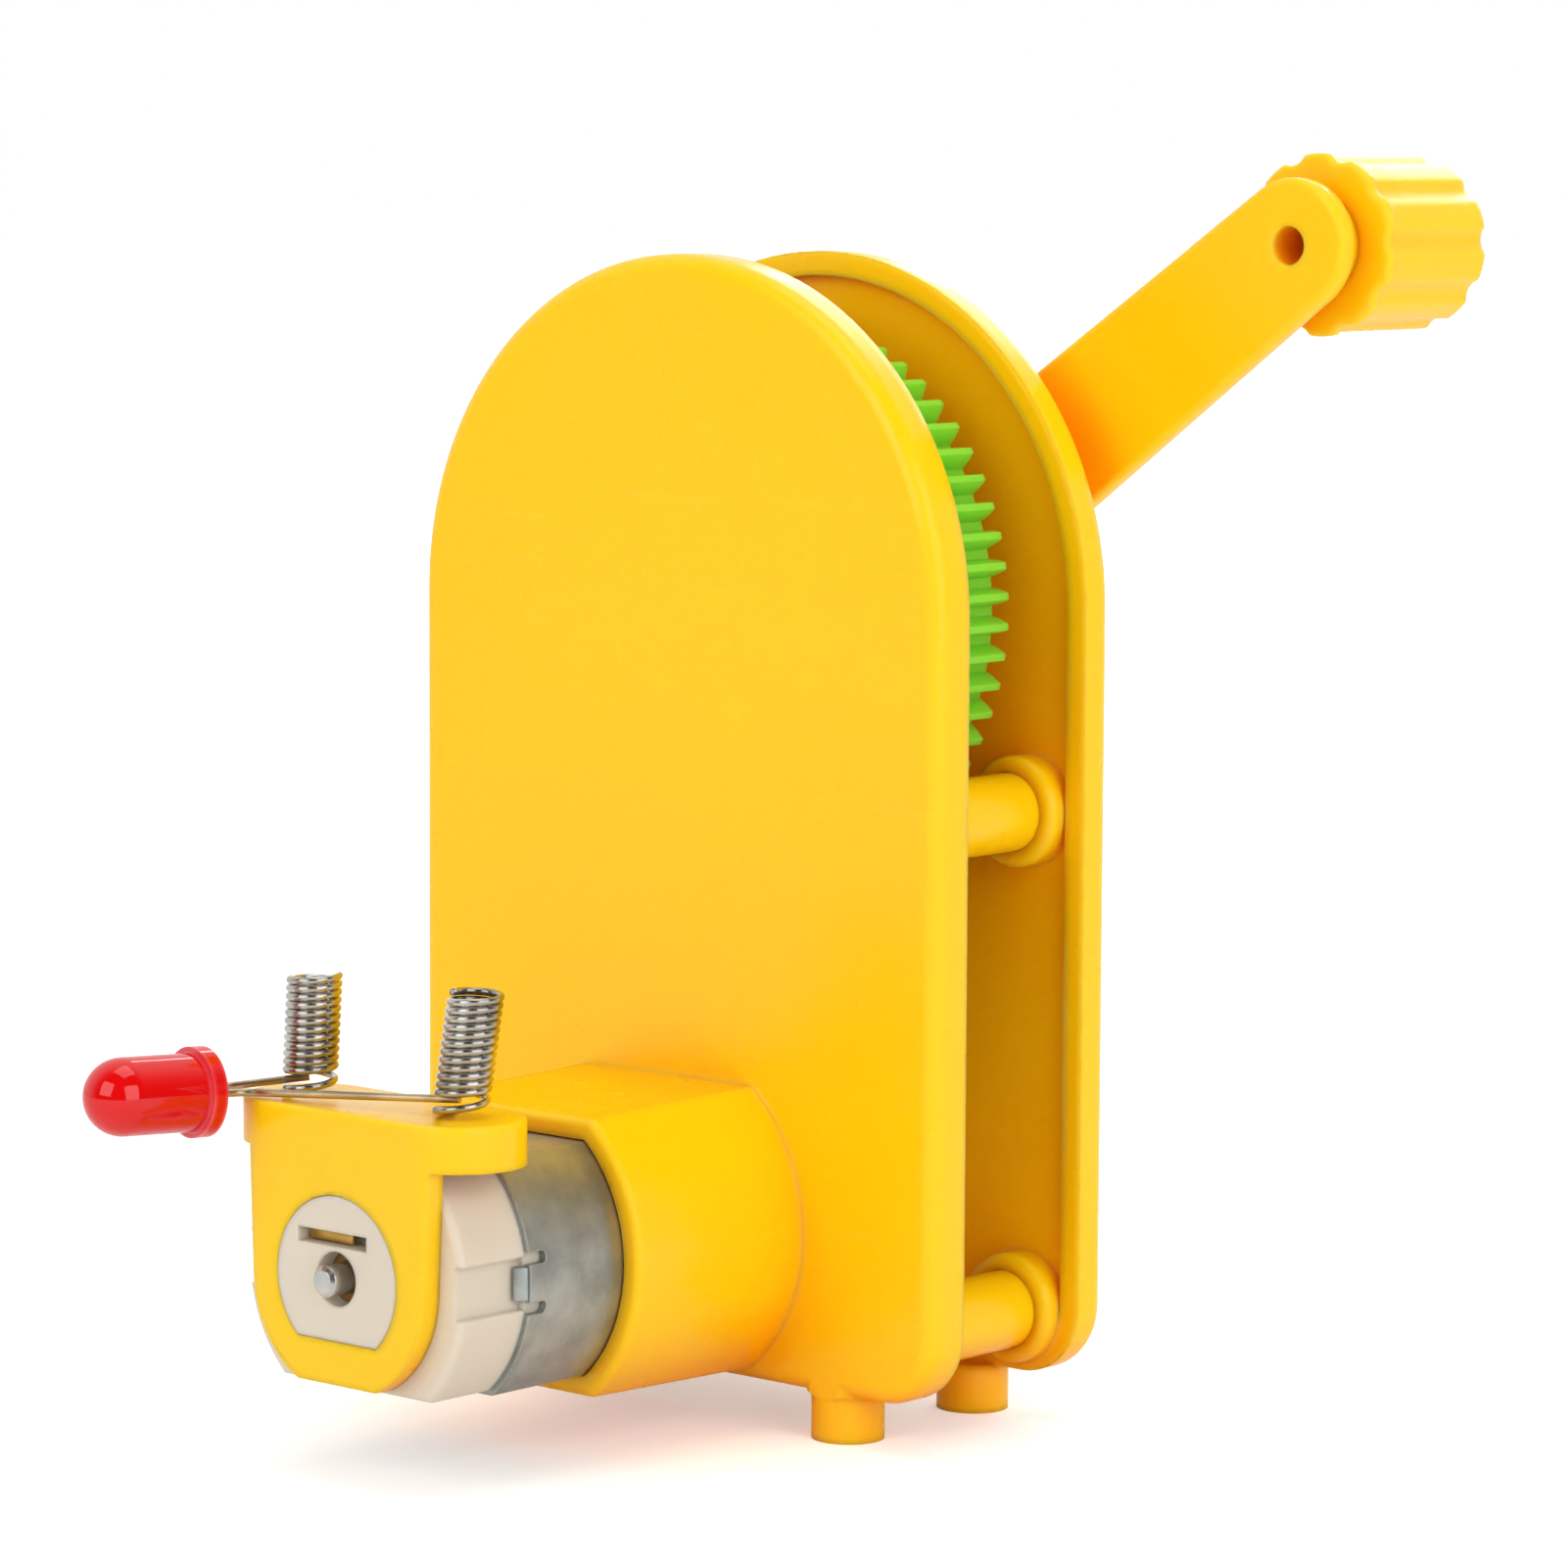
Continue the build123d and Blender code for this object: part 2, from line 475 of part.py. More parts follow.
def make_back_shell():
    rim_end = Y_BACK - BACK_RIM_DEPTH
    shell = slab(arch(), rim_end, Y_BACK)
    shell = fillet(edges_at(shell, Y_BACK), PLATE_EDGE_FILLET)
    shell -= slab(arch(RIM_WALL), rim_end, BACK_INSIDE)
    shell += feet(FOOT_Y, rim_end, Y_BACK)
    socket = POST_RADIUS + POST_FIT
    for x, z in POST_PLACES:
        collar = rod(socket + COLLAR_WALL, COLLAR_Y, BACK_INSIDE, x, z)
        shell += fillet(edges_at(collar, COLLAR_Y), COLLAR_FILLET)
        shell -= rod(socket, COLLAR_Y, POST_END, x, z)
        shell -= rod(CASE_SCREW_RADIUS + 2 * SELF_TAP_FIT, POST_END, Y_BACK, x, z)
        shell -= rod(CASE_SCREW_HEAD_RADIUS + COUNTERBORE_GAP, Y_BACK - COUNTERBORE_DEPTH, Y_BACK, x, z)
    bearing = SPINDLE_RADIUS + RUNNING_FIT
    shell += rod(bearing + BOSS_WALL, BACK_INSIDE - BACK_BOSS_HEIGHT, BACK_INSIDE, 0, CRANK_Z)
    shell -= rod(bearing, BACK_INSIDE - BACK_BOSS_HEIGHT, Y_BACK, 0, CRANK_Z)
    idler_boss = BACK_INSIDE - IDLER_BACK_BOSS_HEIGHT
    shell += rod(AXLE_RADIUS + AXLE_BOSS_WALL, idler_boss, BACK_INSIDE, 0, IDLER_Z)
    shell -= rod(AXLE_RADIUS, idler_boss, Y_BACK - BLIND_FLOOR, 0, IDLER_Z)
    return shell


def make_case_screws():
    sizes = (CASE_SCREW_HEAD_RADIUS, CASE_SCREW_HEAD_HEIGHT, CASE_SCREW_RADIUS, CASE_SCREW_LENGTH)
    return Compound([screw(*sizes, Y_BACK - COUNTERBORE_DEPTH, x, z) for x, z in POST_PLACES])


# --- Crank --------------------------------------------------------------------------------------------
def arm_outline():
    """Two circles joined by their outer tangents, drawn along +X from the hub."""
    lean = math.acos((ARM_HUB_RADIUS - ARM_END_RADIUS) / ARM_LENGTH)
    corners = []
    for side in (1, -1):
        across = (math.cos(lean), side * math.sin(lean))
        pair = [(ARM_HUB_RADIUS * across[0], ARM_HUB_RADIUS * across[1])]
        pair.append((ARM_LENGTH + ARM_END_RADIUS * across[0], ARM_END_RADIUS * across[1]))
        corners += pair if side == 1 else pair[::-1]
    body = make_face(Polyline(*corners, close=True))
    return body + Circle(ARM_HUB_RADIUS) + Pos(ARM_LENGTH, 0) * Circle(ARM_END_RADIUS)


def make_crank_arm():
    arm = slab(arm_outline(), ARM_NEAR, ARM_FAR)
    arm = fillet(edges_at(arm, ARM_NEAR) + edges_at(arm, ARM_FAR), ARM_EDGE_FILLET)
    hub_r = ARM_HUB_RADIUS - ARM_EDGE_FILLET
    arm += rod(hub_r, HUB_NEAR, ARM_NEAR)
    cap = rod(hub_r, ARM_FAR, HUB_FAR)
    arm += fillet(edges_at(cap, HUB_FAR), ARM_EDGE_FILLET)
    arm -= rod(HUB_SCREW_HEAD_RADIUS + COUNTERBORE_GAP, ARM_FAR, HUB_FAR)
    socket = SPINDLE_RADIUS + SELF_TAP_FIT
    drive = Circle(socket) & Rectangle(2 * (SPINDLE_FLAT + SELF_TAP_FIT), 2 * socket)
    arm -= slab(drive, HUB_NEAR, ARM_FAR)
    arm += rod(KNOB_SHOULDER_RADIUS, ARM_FAR, KNOB_NEAR - END_PLAY / 2, ARM_LENGTH)
    arm += rod(KNOB_TUBE_RADIUS, ARM_FAR, KNOB_TUBE_END, ARM_LENGTH)
    arm -= rod(KNOB_TUBE_BORE, ARM_NEAR, KNOB_TUBE_END, ARM_LENGTH)
    return Pos(0, 0, CRANK_Z) * Rot(0, -ARM_ANGLE, 0) * arm


def make_hub_screw():
    return screw(
        HUB_SCREW_HEAD_RADIUS, SCREW_HEAD_HEIGHT, CASE_SCREW_RADIUS, HUB_SCREW_LENGTH, ARM_FAR, 0, CRANK_Z
    )


def lobed_outline(radius):
    """A circle with shallow flutes round it, their corners rounded."""
    flute_circle = radius - KNOB_FLUTE_DEPTH + KNOB_FLUTE_RADIUS
    start = KNOB_LOBE_ANGLE + 180.0 / KNOB_LOBES
    outline = Circle(radius)
    for place in PolarLocations(flute_circle, KNOB_LOBES, start_angle=start):
        outline -= place * Circle(KNOB_FLUTE_RADIUS)
    return fillet(outline.vertices(), KNOB_FLUTE_DEPTH)


def make_crank_knob():
    rim_far = KNOB_NEAR + KNOB_RIM_THICKNESS
    rim = slab(lobed_outline(KNOB_RIM_RADIUS), KNOB_NEAR, rim_far)
    rim = fillet(edges_at(rim, KNOB_NEAR) + edges_at(rim, rim_far), KNOB_RIM_FILLET)
    grip = slab(lobed_outline(KNOB_RADIUS), KNOB_NEAR + KNOB_RIM_FILLET, KNOB_FAR)
    grip = fillet(edges_at(grip, KNOB_FAR), KNOB_EDGE_FILLET)
    knob = rim + grip
    knob -= rod(KNOB_TUBE_RADIUS + RUNNING_FIT, KNOB_NEAR, KNOB_FAR)
    knob -= rod(KNOB_RECESS_RADIUS, KNOB_FAR - KNOB_RECESS_DEPTH, KNOB_FAR)
    return Pos(KNOB_X, 0, KNOB_Z) * knob


def make_knob_screw():
    shank = KNOB_TUBE_BORE - SELF_TAP_FIT
    return screw(
        KNOB_SCREW_HEAD_RADIUS, SCREW_HEAD_HEIGHT, shank, KNOB_SCREW_LENGTH, KNOB_TUBE_END, KNOB_X, KNOB_Z
    )


# --- Motor --------------------------------------------------------------------------------------------
def make_motor_can():
    can = slab(motor_outline(), CAN_BACK, CAN_FRONT)
    can = fillet(edges_at(can, CAN_FRONT), CAN_WALL)
    can -= slab(motor_outline(-CAN_WALL), CAN_BACK, CAN_FRONT - CAN_WALL)
    can += rod(CAN_BOSS_RADIUS, CAN_FRONT - CAN_WALL, CAN_FRONT + CAN_BOSS_LENGTH)
    bush = SHAFT_RADIUS + RUNNING_FIT + BUSH_WALL
    can -= rod(bush, CAN_FRONT - CAN_WALL, CAN_FRONT + CAN_BOSS_LENGTH)
    slot_z = CRIMP_TAB_HALF_HEIGHT + CRIMP_SLOT_WIDTH / 2
    slot_end = CAN_BACK + CRIMP_SLOT_LENGTH - CRIMP_SLOT_WIDTH / 2
    for z in (-slot_z, slot_z):
        half = CRIMP_SLOT_WIDTH / 2
        can -= block(-CAN_RADIUS, CAN_RADIUS, CAN_BACK, slot_end, z - half, z + half)
        can -= Pos(0, slot_end, z) * Rot(0, 90, 0) * Cylinder(half, 2 * CAN_RADIUS)
    return Pos(0, 0, MOTOR_Z) * can


def make_motor_end_bell():
    bell = slab(motor_outline(-END_BELL_INSET), BELL_BACK, CAN_BACK)
    bell = fillet(edges_at(bell, BELL_BACK), END_BELL_EDGE_FILLET)
    spigot = CAN_WALL + HOUSING_FIT
    bell += slab(motor_outline(-spigot), CAN_BACK, CAN_BACK + END_BELL_SPIGOT)
    inside = motor_outline(-spigot - END_BELL_WALL)
    bell -= slab(inside, BELL_BACK + END_BELL_WALL, CAN_BACK + END_BELL_SPIGOT)
    boss = Circle(BELL_BOSS_RADIUS) & Pos(0, BELL_BOSS_RADIUS - BELL_BOSS_FLAT) * Rectangle(
        2 * BELL_BOSS_RADIUS, 2 * BELL_BOSS_RADIUS
    )
    bell += slab(boss, BOSS_FACE, BELL_BACK)
    bell -= slab(
        Pos(BOSS_SLOT_X, BOSS_SLOT_Z) * Rectangle(BOSS_SLOT_LENGTH, BOSS_SLOT_HEIGHT),
        BOSS_FACE,
        BOSS_FACE + BOSS_SLOT_DEPTH,
    )
    bell -= rod(SHAFT_RECESS_RADIUS, BOSS_FACE, BOSS_FACE + SHAFT_RECESS_DEPTH)
    bush = SHAFT_RADIUS + RUNNING_FIT + BUSH_WALL - END_PLAY
    bell -= rod(bush, BOSS_FACE + SHAFT_RECESS_DEPTH, BELL_BACK + END_BELL_WALL)
    groove_floor = CAN_RADIUS - SIDE_GROOVE_DEPTH
    for side in (-1, 1):
        x_from, x_to = sorted((side * groove_floor, side * CAN_RADIUS))
        half = SIDE_GROOVE_HALF_HEIGHT
        bell -= block(x_from, x_to, BELL_BACK, CAN_BACK, -half, half)
        near = TAB_X - TAB_SLOT_FIT
        far = TAB_X + TAB_THICKNESS + TAB_SLOT_FIT
        slot_from, slot_to = sorted((side * near, side * far))
        half_tab = TAB_WIDTH / 2 + TAB_SLOT_FIT
        bell -= block(slot_from, slot_to, SHELF_Y - half_tab, SHELF_Y + half_tab, 0, CAN_FLAT_HEIGHT / 2)
    return Pos(0, 0, MOTOR_Z) * bell


def make_motor_bearings():
    outer = SHAFT_RADIUS + RUNNING_FIT + BUSH_WALL
    front_end = CAN_FRONT + CAN_BOSS_LENGTH
    front = tube(outer, SHAFT_RADIUS + RUNNING_FIT, front_end - BUSH_LENGTH, front_end, 0, MOTOR_Z)
    rear_from = BOSS_FACE + SHAFT_RECESS_DEPTH
    rear_to = BELL_BACK + END_BELL_WALL
    rear = tube(outer - END_PLAY, SHAFT_RADIUS + RUNNING_FIT, rear_from, rear_to, 0, MOTOR_Z)
    return Compound([front.solid(), rear.solid()])


def make_motor_shaft():
    shaft = rod(SHAFT_RADIUS, SHAFT_END, SHAFT_FRONT, 0, MOTOR_Z)
    return chamfer(edges_at(shaft, SHAFT_END) + edges_at(shaft, SHAFT_FRONT), SHAFT_CHAMFER)


def sector(radius, half_angle, direction):
    """A pie slice with its point on the axis."""
    reach = 2 * radius
    ends = [math.radians(direction + side * half_angle) for side in (-1, 1)]
    corners = [(reach * math.cos(a), reach * math.sin(a)) for a in ends]
    return make_face(Polyline((0, 0), *corners, close=True)) & Circle(radius)


def make_armature_core():
    """Laminated core: three stems from a hub, each with a curved shoe."""
    outline = Circle(CORE_HUB_RADIUS)
    for k in range(POLE_COUNT):
        direction = 90.0 + 360.0 * k / POLE_COUNT
        outline += Rot(0, 0, direction) * Pos(CORE_RADIUS / 2, 0) * Rectangle(CORE_RADIUS - 1, POLE_STEM)
        shoe = sector(CORE_RADIUS, POLE_SHOE_ANGLE / 2, direction)
        outline += shoe - Circle(CORE_RADIUS - POLE_SHOE_THICKNESS)
    outline -= Circle(SHAFT_RADIUS)
    return Pos(0, 0, MOTOR_Z) * slab(outline, CORE_MIDDLE - CORE_LENGTH / 2, CORE_MIDDLE + CORE_LENGTH / 2)


def make_armature_windings():
    """One coil round each stem, a rounded ring with end turns beyond the core."""
    inner_r = CORE_HUB_RADIUS + COIL_CLEARANCE
    shoe_inside = CORE_RADIUS - POLE_SHOE_THICKNESS - COIL_CLEARANCE
    outer_r = math.sqrt(shoe_inside ** 2 - (COIL_WIDTH / 2) ** 2)
    half_length = CORE_LENGTH / 2
    half_stem = POLE_STEM / 2 + COIL_CLEARANCE
    coils = []
    for k in range(POLE_COUNT):
        reach = half_length + COIL_END_TURN
        coil = block(inner_r, outer_r, -reach, reach, -COIL_WIDTH / 2, COIL_WIDTH / 2)
        coil = fillet(coil.edges().filter_by(Axis.X), COIL_END_TURN / 2)
        gap = half_length + COIL_CLEARANCE
        coil -= block(inner_r, outer_r, -gap, gap, -half_stem, half_stem)
        direction = 90.0 + 360.0 * k / POLE_COUNT
        coil = Pos(0, CORE_MIDDLE, MOTOR_Z) * Rot(0, -direction, 0) * coil
        coils.append(coil.solid())
    return Compound(coils)


def make_motor_magnets():
    outer_r = CAN_RADIUS - CAN_WALL - COIL_CLEARANCE
    arcs = []
    for direction in (0.0, 180.0):
        outline = sector(outer_r, MAGNET_ANGLE / 2, direction) - Circle(CORE_RADIUS + MAGNET_GAP)
        magnet = slab(outline, CAN_FRONT - CAN_WALL - MAGNET_LENGTH, CAN_FRONT - CAN_WALL)
        arcs.append((Pos(0, 0, MOTOR_Z) * magnet).solid())
    return Compound(arcs)


def make_commutator():
    """Three copper segments with gaps between them."""
    ring = Circle(COMMUTATOR_RADIUS) - Circle(COMMUTATOR_SLEEVE_RADIUS)
    for k in range(POLE_COUNT):
        cut = Pos(COMMUTATOR_RADIUS / 2, 0) * Rectangle(COMMUTATOR_RADIUS, COMMUTATOR_GAP)
        ring -= Rot(0, 0, 30.0 + 360.0 * k / POLE_COUNT) * cut
    return Pos(0, 0, MOTOR_Z) * slab(ring, COMMUTATOR_BACK, COMMUTATOR_BACK + COMMUTATOR_LENGTH)


def make_commutator_sleeve():
    core_back = CORE_MIDDLE - CORE_LENGTH / 2
    return tube(COMMUTATOR_SLEEVE_RADIUS, SHAFT_RADIUS, COMMUTATOR_BACK, core_back, 0, MOTOR_Z)


def make_brushes():
    """Two sprung blades that hang from the tabs and lie on the commutator."""
    blade_x = COMMUTATOR_RADIUS + BRUSH_GAP
    blades = []
    y_from = COMMUTATOR_BACK + COMMUTATOR_LENGTH / 4
    y_to = COMMUTATOR_BACK + 3 * COMMUTATOR_LENGTH / 4
    for side in (-1, 1):
        x_from, x_to = sorted((side * blade_x, side * (blade_x + BRUSH_THICKNESS)))
        drop = 1.5 * COMMUTATOR_RADIUS
        blade = block(x_from, x_to, y_from, y_to, MOTOR_Z - drop, MOTOR_Z + drop)
        blades.append(blade.solid())
    return Compound(blades)


def make_terminal_tabs():
    """Two bent brass strips: down into the end bell, and out under the shelf to the springs."""
    tabs = []
    blade_top = MOTOR_Z + 1.5 * COMMUTATOR_RADIUS
    brush_end = COMMUTATOR_BACK + 3 * COMMUTATOR_LENGTH / 4
    low = TAB_TOP - TAB_THICKNESS
    half = TAB_WIDTH / 2
    for side, start in ((-1, SPRING_LEFT_START), (1, SPRING_RIGHT_START)):
        x_from, x_to = sorted((side * TAB_X, side * TAB_REACH))
        tab = block(x_from, x_to, SHELF_Y - half, SHELF_Y + half, low, TAB_TOP)
        x_from, x_to = sorted((side * TAB_X, side * (TAB_X + TAB_THICKNESS)))
        tab += block(x_from, x_to, SHELF_Y - half, SHELF_Y + half, blade_top, TAB_TOP)
        brush_x = COMMUTATOR_RADIUS + BRUSH_GAP
        x_from, x_to = sorted((side * brush_x, side * (TAB_X + TAB_THICKNESS)))
        tab += block(x_from, x_to, SHELF_Y - half, brush_end, blade_top, blade_top + TAB_THICKNESS)
        tab -= tail_slot(side * SPRING_X, start, SHELF_UNDER, SHELF_TOP)
        tabs.append(tab.solid())
    return Compound(tabs)


# --- Terminal bracket ---------------------------------------------------------------------------------
def stadium(radius):
    """Plan of the shelf: two round ends on the springs' axes."""
    return Rectangle(2 * SPRING_X, 2 * radius) + [Pos(x, 0) * Circle(radius) for x in (-SPRING_X, SPRING_X)]


def shield_outline():
    """Front plate of the bracket: round below the motor axis with a flat bottom, slightly flared above."""
    top = SHELF_TOP - MOTOR_Z
    corners = [(-BRACKET_RADIUS, 0), (BRACKET_RADIUS, 0)]
    corners += [(BRACKET_TOP_HALF_WIDTH, top), (-BRACKET_TOP_HALF_WIDTH, top)]
    outline = make_face(Polyline(*corners, close=True)) + Circle(BRACKET_RADIUS)
    keep = Pos(0, (top - BRACKET_BOTTOM) / 2) * Rectangle(4 * BRACKET_RADIUS, top + BRACKET_BOTTOM)
    return outline & keep


def make_terminal_bracket():
    shelf_plane = Pos(0, SHELF_Y, SHELF_UNDER)
    shelf = shelf_plane * extrude(stadium(SHELF_ROUND), amount=SHELF_THICKNESS)
    plate = slab(Pos(0, MOTOR_Z) * shield_outline(), BOSS_FACE, BELL_BACK)
    plan = Pos(0, SHELF_Y, MOTOR_Z - BRACKET_BOTTOM) * extrude(
        stadium(SHELF_ROUND), amount=SHELF_TOP - MOTOR_Z + BRACKET_BOTTOM
    )
    bracket = shelf + (plate & plan)
    bracket = fillet(bracket.faces().sort_by(Axis.Z)[-1].edges(), BRACKET_EDGE_FILLET)
    roof = SHELF_THICKNESS - SHELF_ROOF
    bracket -= shelf_plane * extrude(stadium(SHELF_ROUND - SHELF_WALL), amount=roof)
    hole_r = BELL_BOSS_RADIUS + BOSS_HOLE_FIT
    low = BELL_BOSS_FLAT + BOSS_HOLE_FIT
    hole = Circle(hole_r) & Pos(0, hole_r - low) * Rectangle(2 * hole_r, 2 * hole_r)
    bracket -= slab(Pos(0, MOTOR_Z) * hole, BOSS_FACE, BELL_BACK)
    for side, start in ((-1, SPRING_LEFT_START), (1, SPRING_RIGHT_START)):
        bracket -= tail_slot(side * SPRING_X, start, SHELF_CEILING, SHELF_TOP)
    return bracket


# --- Springs ------------------------------------------------------------------------------------------
def coil_height(turn):
    """Height of the wire's middle above the shelf, with one wider gap that holds an LED leg."""
    part = min(1.0, max(0.0, turn))
    return SPRING_WIRE / 2 + SPRING_PITCH * turn + SPRING_CLAMP_GAP * part * part * (3 - 2 * part)


def coil_point(x, start, turn):
    """Middle of the wire; both springs lean to +X, the right one more."""
    radius = SPRING_OUTER_RADIUS - SPRING_WIRE / 2
    angle = math.radians(start + 360.0 * turn)
    lean = SPRING_RIGHT_LEAN if x > 0 else SPRING_LEFT_LEAN
    along = x + radius * math.cos(angle) + lean * turn / (SPRING_QUARTERS * QUARTER)
    return Vector(along, SHELF_Y + radius * math.sin(angle), SHELF_TOP + coil_height(turn))


def coil_direction(x, start, turn):
    step = 1e-4
    return (coil_point(x, start, turn + step) - coil_point(x, start, max(0.0, turn - step))).normalized()


def tail_place(x, start):
    """Where the spring's tail goes down through the shelf."""
    first = coil_point(x, start, 0)
    along = coil_direction(x, start, 0)
    flat = Vector(along.X, along.Y, 0).normalized()
    return first - flat * SPRING_TAIL_BEND, flat


def tail_slot(x, start, z_from, z_to):
    """Slot for the tail and its bend."""
    place, flat = tail_place(x, start)
    middle = place + flat * (SPRING_TAIL_BEND / 2)
    width = SPRING_WIRE + 2 * SPRING_TAIL_FIT
    plan = Rot(0, 0, math.degrees(math.atan2(flat.Y, flat.X))) * SlotCenterToCenter(SPRING_TAIL_BEND, width)
    return Pos(middle.X, middle.Y, z_from) * extrude(plan, amount=z_to - z_from)


def biarc(start, start_way, end, end_way):
    """Two arcs that meet smoothly, between two points with given directions."""
    chord = end - start
    both = start_way + end_way
    a = both.dot(both) - 4
    b = -2 * chord.dot(both)
    c = chord.dot(chord)
    reach = (-b - math.sqrt(b * b - 4 * a * c)) / (2 * a)
    first = start + start_way * reach
    second = end - end_way * reach
    joint = (first + second) * 0.5
    middle_way = second - first
    return [Edge.make_tangent_arc(start, start_way, joint), Edge.make_tangent_arc(joint, middle_way, end)]


def make_spring(x, start):
    """A close-wound spring with a tail through the shelf: quarter turns, each one biarc."""
    place, _ = tail_place(x, start)
    tail_low = Vector(place.X, place.Y, TAB_TOP - TAB_THICKNESS - SPRING_TAIL_BELOW_TAB)
    first = coil_point(x, start, 0)
    tail_top = Vector(place.X, place.Y, first.Z - SPRING_TAIL_BEND)
    up = Vector(0, 0, 1)
    edges = [Edge.make_line(tail_low, tail_top)]
    edges += biarc(tail_top, up, first, coil_direction(x, start, 0))
    for quarter in range(SPRING_QUARTERS):
        turns = (quarter * QUARTER, (quarter + 1) * QUARTER)
        ends = [coil_point(x, start, t) for t in turns]
        ways = [coil_direction(x, start, t) for t in turns]
        edges += biarc(ends[0], ways[0], ends[1], ways[1])
    last_way = coil_direction(x, start, SPRING_QUARTERS * QUARTER)
    last = coil_point(x, start, SPRING_QUARTERS * QUARTER)
    edges.append(Edge.make_line(last, last + last_way * SPRING_WIRE))
    path = Wire(edges)
    section = Plane(origin=tail_low, z_dir=up) * Circle(SPRING_WIRE / 2)
    spring = sweep(section, path=path)
    print(f"spring at x={x:+.1f}: wire {path.length:.2f} mm, volume {spring.volume:.3f} mm3, ", end="")
    print(f"section x length {math.pi * SPRING_WIRE ** 2 / 4 * path.length:.3f} mm3, ", end="")
    print(f"least gap {least_gap(x, start):.3f} mm")
    return spring


def least_gap(x, start):
    """Smallest space between neighbouring turns, measured on points of the wire's middle line."""
    count = SPRING_QUARTERS * GAP_SAMPLES
    points = [coil_point(x, start, i * QUARTER / GAP_SAMPLES) for i in range(count + 1)]
    half_turn = round(GAP_SAMPLES / QUARTER / 2)
    gaps = []
    for i, point in enumerate(points):
        neighbours = points[i + half_turn:i + 3 * half_turn]
        gaps += [(point - other).length for other in neighbours]
    return min(gaps) - SPRING_WIRE


# --- LED ----------------------------------------------------------------------------------------------
def led_frame():
    """LED base centre, the way its dome points, and the way across its legs."""
    heading = math.radians(LED_HEADING)
    base = Vector(LED_BASE_X, LED_BASE_Y, LED_Z)
    rise = math.radians(LED_RISE)
    level = Vector(math.cos(heading), math.sin(heading), 0)
    ahead = level * math.cos(rise) + Vector(0, 0, math.sin(rise))
    across = Vector(-level.Y, level.X, 0)
    return base, ahead, across


def make_led_lens():
    """Round-nosed lens with a flange that has one flat."""
    base, ahead, across = led_frame()
    nose = LED_LENGTH - LED_RADIUS
    profile = make_face(Wire([
        Line((0, 0), (LED_FLANGE_RADIUS, 0)),
        Line((LED_FLANGE_RADIUS, 0), (LED_FLANGE_RADIUS, LED_FLANGE_THICKNESS)),
        Line((LED_FLANGE_RADIUS, LED_FLANGE_THICKNESS), (LED_RADIUS, LED_FLANGE_THICKNESS)),
        Line((LED_RADIUS, LED_FLANGE_THICKNESS), (LED_RADIUS, nose)),
        ThreePointArc(
            (LED_RADIUS, nose),
            (LED_RADIUS * math.sin(math.pi / 4), nose + LED_RADIUS * math.cos(math.pi / 4)),
            (0, LED_LENGTH),
        ),
        Line((0, LED_LENGTH), (0, 0)),
    ]))
    lens = revolve(Plane.XZ * profile, Axis.Z)
    lens -= block(
        LED_FLAT, LED_FLANGE_RADIUS, -LED_FLANGE_RADIUS, LED_FLANGE_RADIUS, 0, LED_FLANGE_THICKNESS
    )
    return Location(Plane(origin=base, x_dir=across * -1, z_dir=ahead)) * lens


def make_led_leads():
    """Two legs that leave the base straight and bend to the springs that clamp them."""
    base, ahead, across = led_frame()
    legs = []
    for side, height in ((-1, LEFT_CLAMP_HEIGHT), (1, RIGHT_CLAMP_HEIGHT)):
        start = base + across * (side * LED_LEG_SPACING / 2)
        bend = start - ahead * LED_LEG_STRAIGHT
        end = Vector(side * SPRING_X, SHELF_Y, SHELF_TOP + height)
        path = FilletPolyline(start, bend, end, radius=LED_LEG_BEND)
        section = Plane(origin=start, z_dir=ahead * -1) * Circle(LED_LEG / 2)
        leg = sweep(section, path=path)
        print(f"LED leg to x={end.X:+.1f}: {path.length:.2f} mm, volume {leg.volume:.3f} mm3")
        legs.append(leg.solid())
    return Compound(legs)


# --- Write every piece --------------------------------------------------------------------------------
PIECES = {
    "front_shell": make_front_shell,
    "back_shell": make_back_shell,
    "case_screws": make_case_screws,
    "crank_gear": make_crank_gear,
    "crank_arm": make_crank_arm,
    "hub_screw": make_hub_screw,
    "crank_knob": make_crank_knob,
    "knob_screw": make_knob_screw,
    "idler_gear": make_idler_gear,
    "idler_axle": make_idler_axle,
    "motor_pinion": make_motor_pinion,
    "motor_shaft": make_motor_shaft,
    "motor_can": make_motor_can,
    "motor_end_bell": make_motor_end_bell,
    "motor_bearings": make_motor_bearings,
    "motor_magnets": make_motor_magnets,
    "armature_core": make_armature_core,
    "armature_windings": make_armature_windings,
    "commutator": make_commutator,
    "commutator_sleeve": make_commutator_sleeve,
    "brushes": make_brushes,
    "terminal_tabs": make_terminal_tabs,
    "terminal_bracket": make_terminal_bracket,
    "spring_terminal_left": lambda: make_spring(-SPRING_X, SPRING_LEFT_START),
    "spring_terminal_right": lambda: make_spring(SPRING_X, SPRING_RIGHT_START),
    "led_lens": make_led_lens,
    "led_leads": make_led_leads,
}

os.makedirs("parts", exist_ok=True)
for name, make in PIECES.items():
    piece = make()
    piece.label = name
    export_step(piece, f"parts/{name}.step")
    print(f"{name}: {len(piece.solids())} solid(s), {piece.volume:.1f} mm3")
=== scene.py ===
# %% [markdown]
# # A hand crank generator
#
# Two yellow arch-shaped plates hold a green gear train between them. Turning the crank at the back spins a
# small DC motor at the front about twenty-five times as fast, and the motor lights a red LED that is
# clamped in two spring terminals. Every rigid piece comes from the CAD frame. This lesson dresses those
# pieces in procedural finishes, winds the two springs, and adds a few small metal parts of the motor.

# %% Load the frame
import math

import bmesh
import bpy
from mathutils import Matrix, Vector


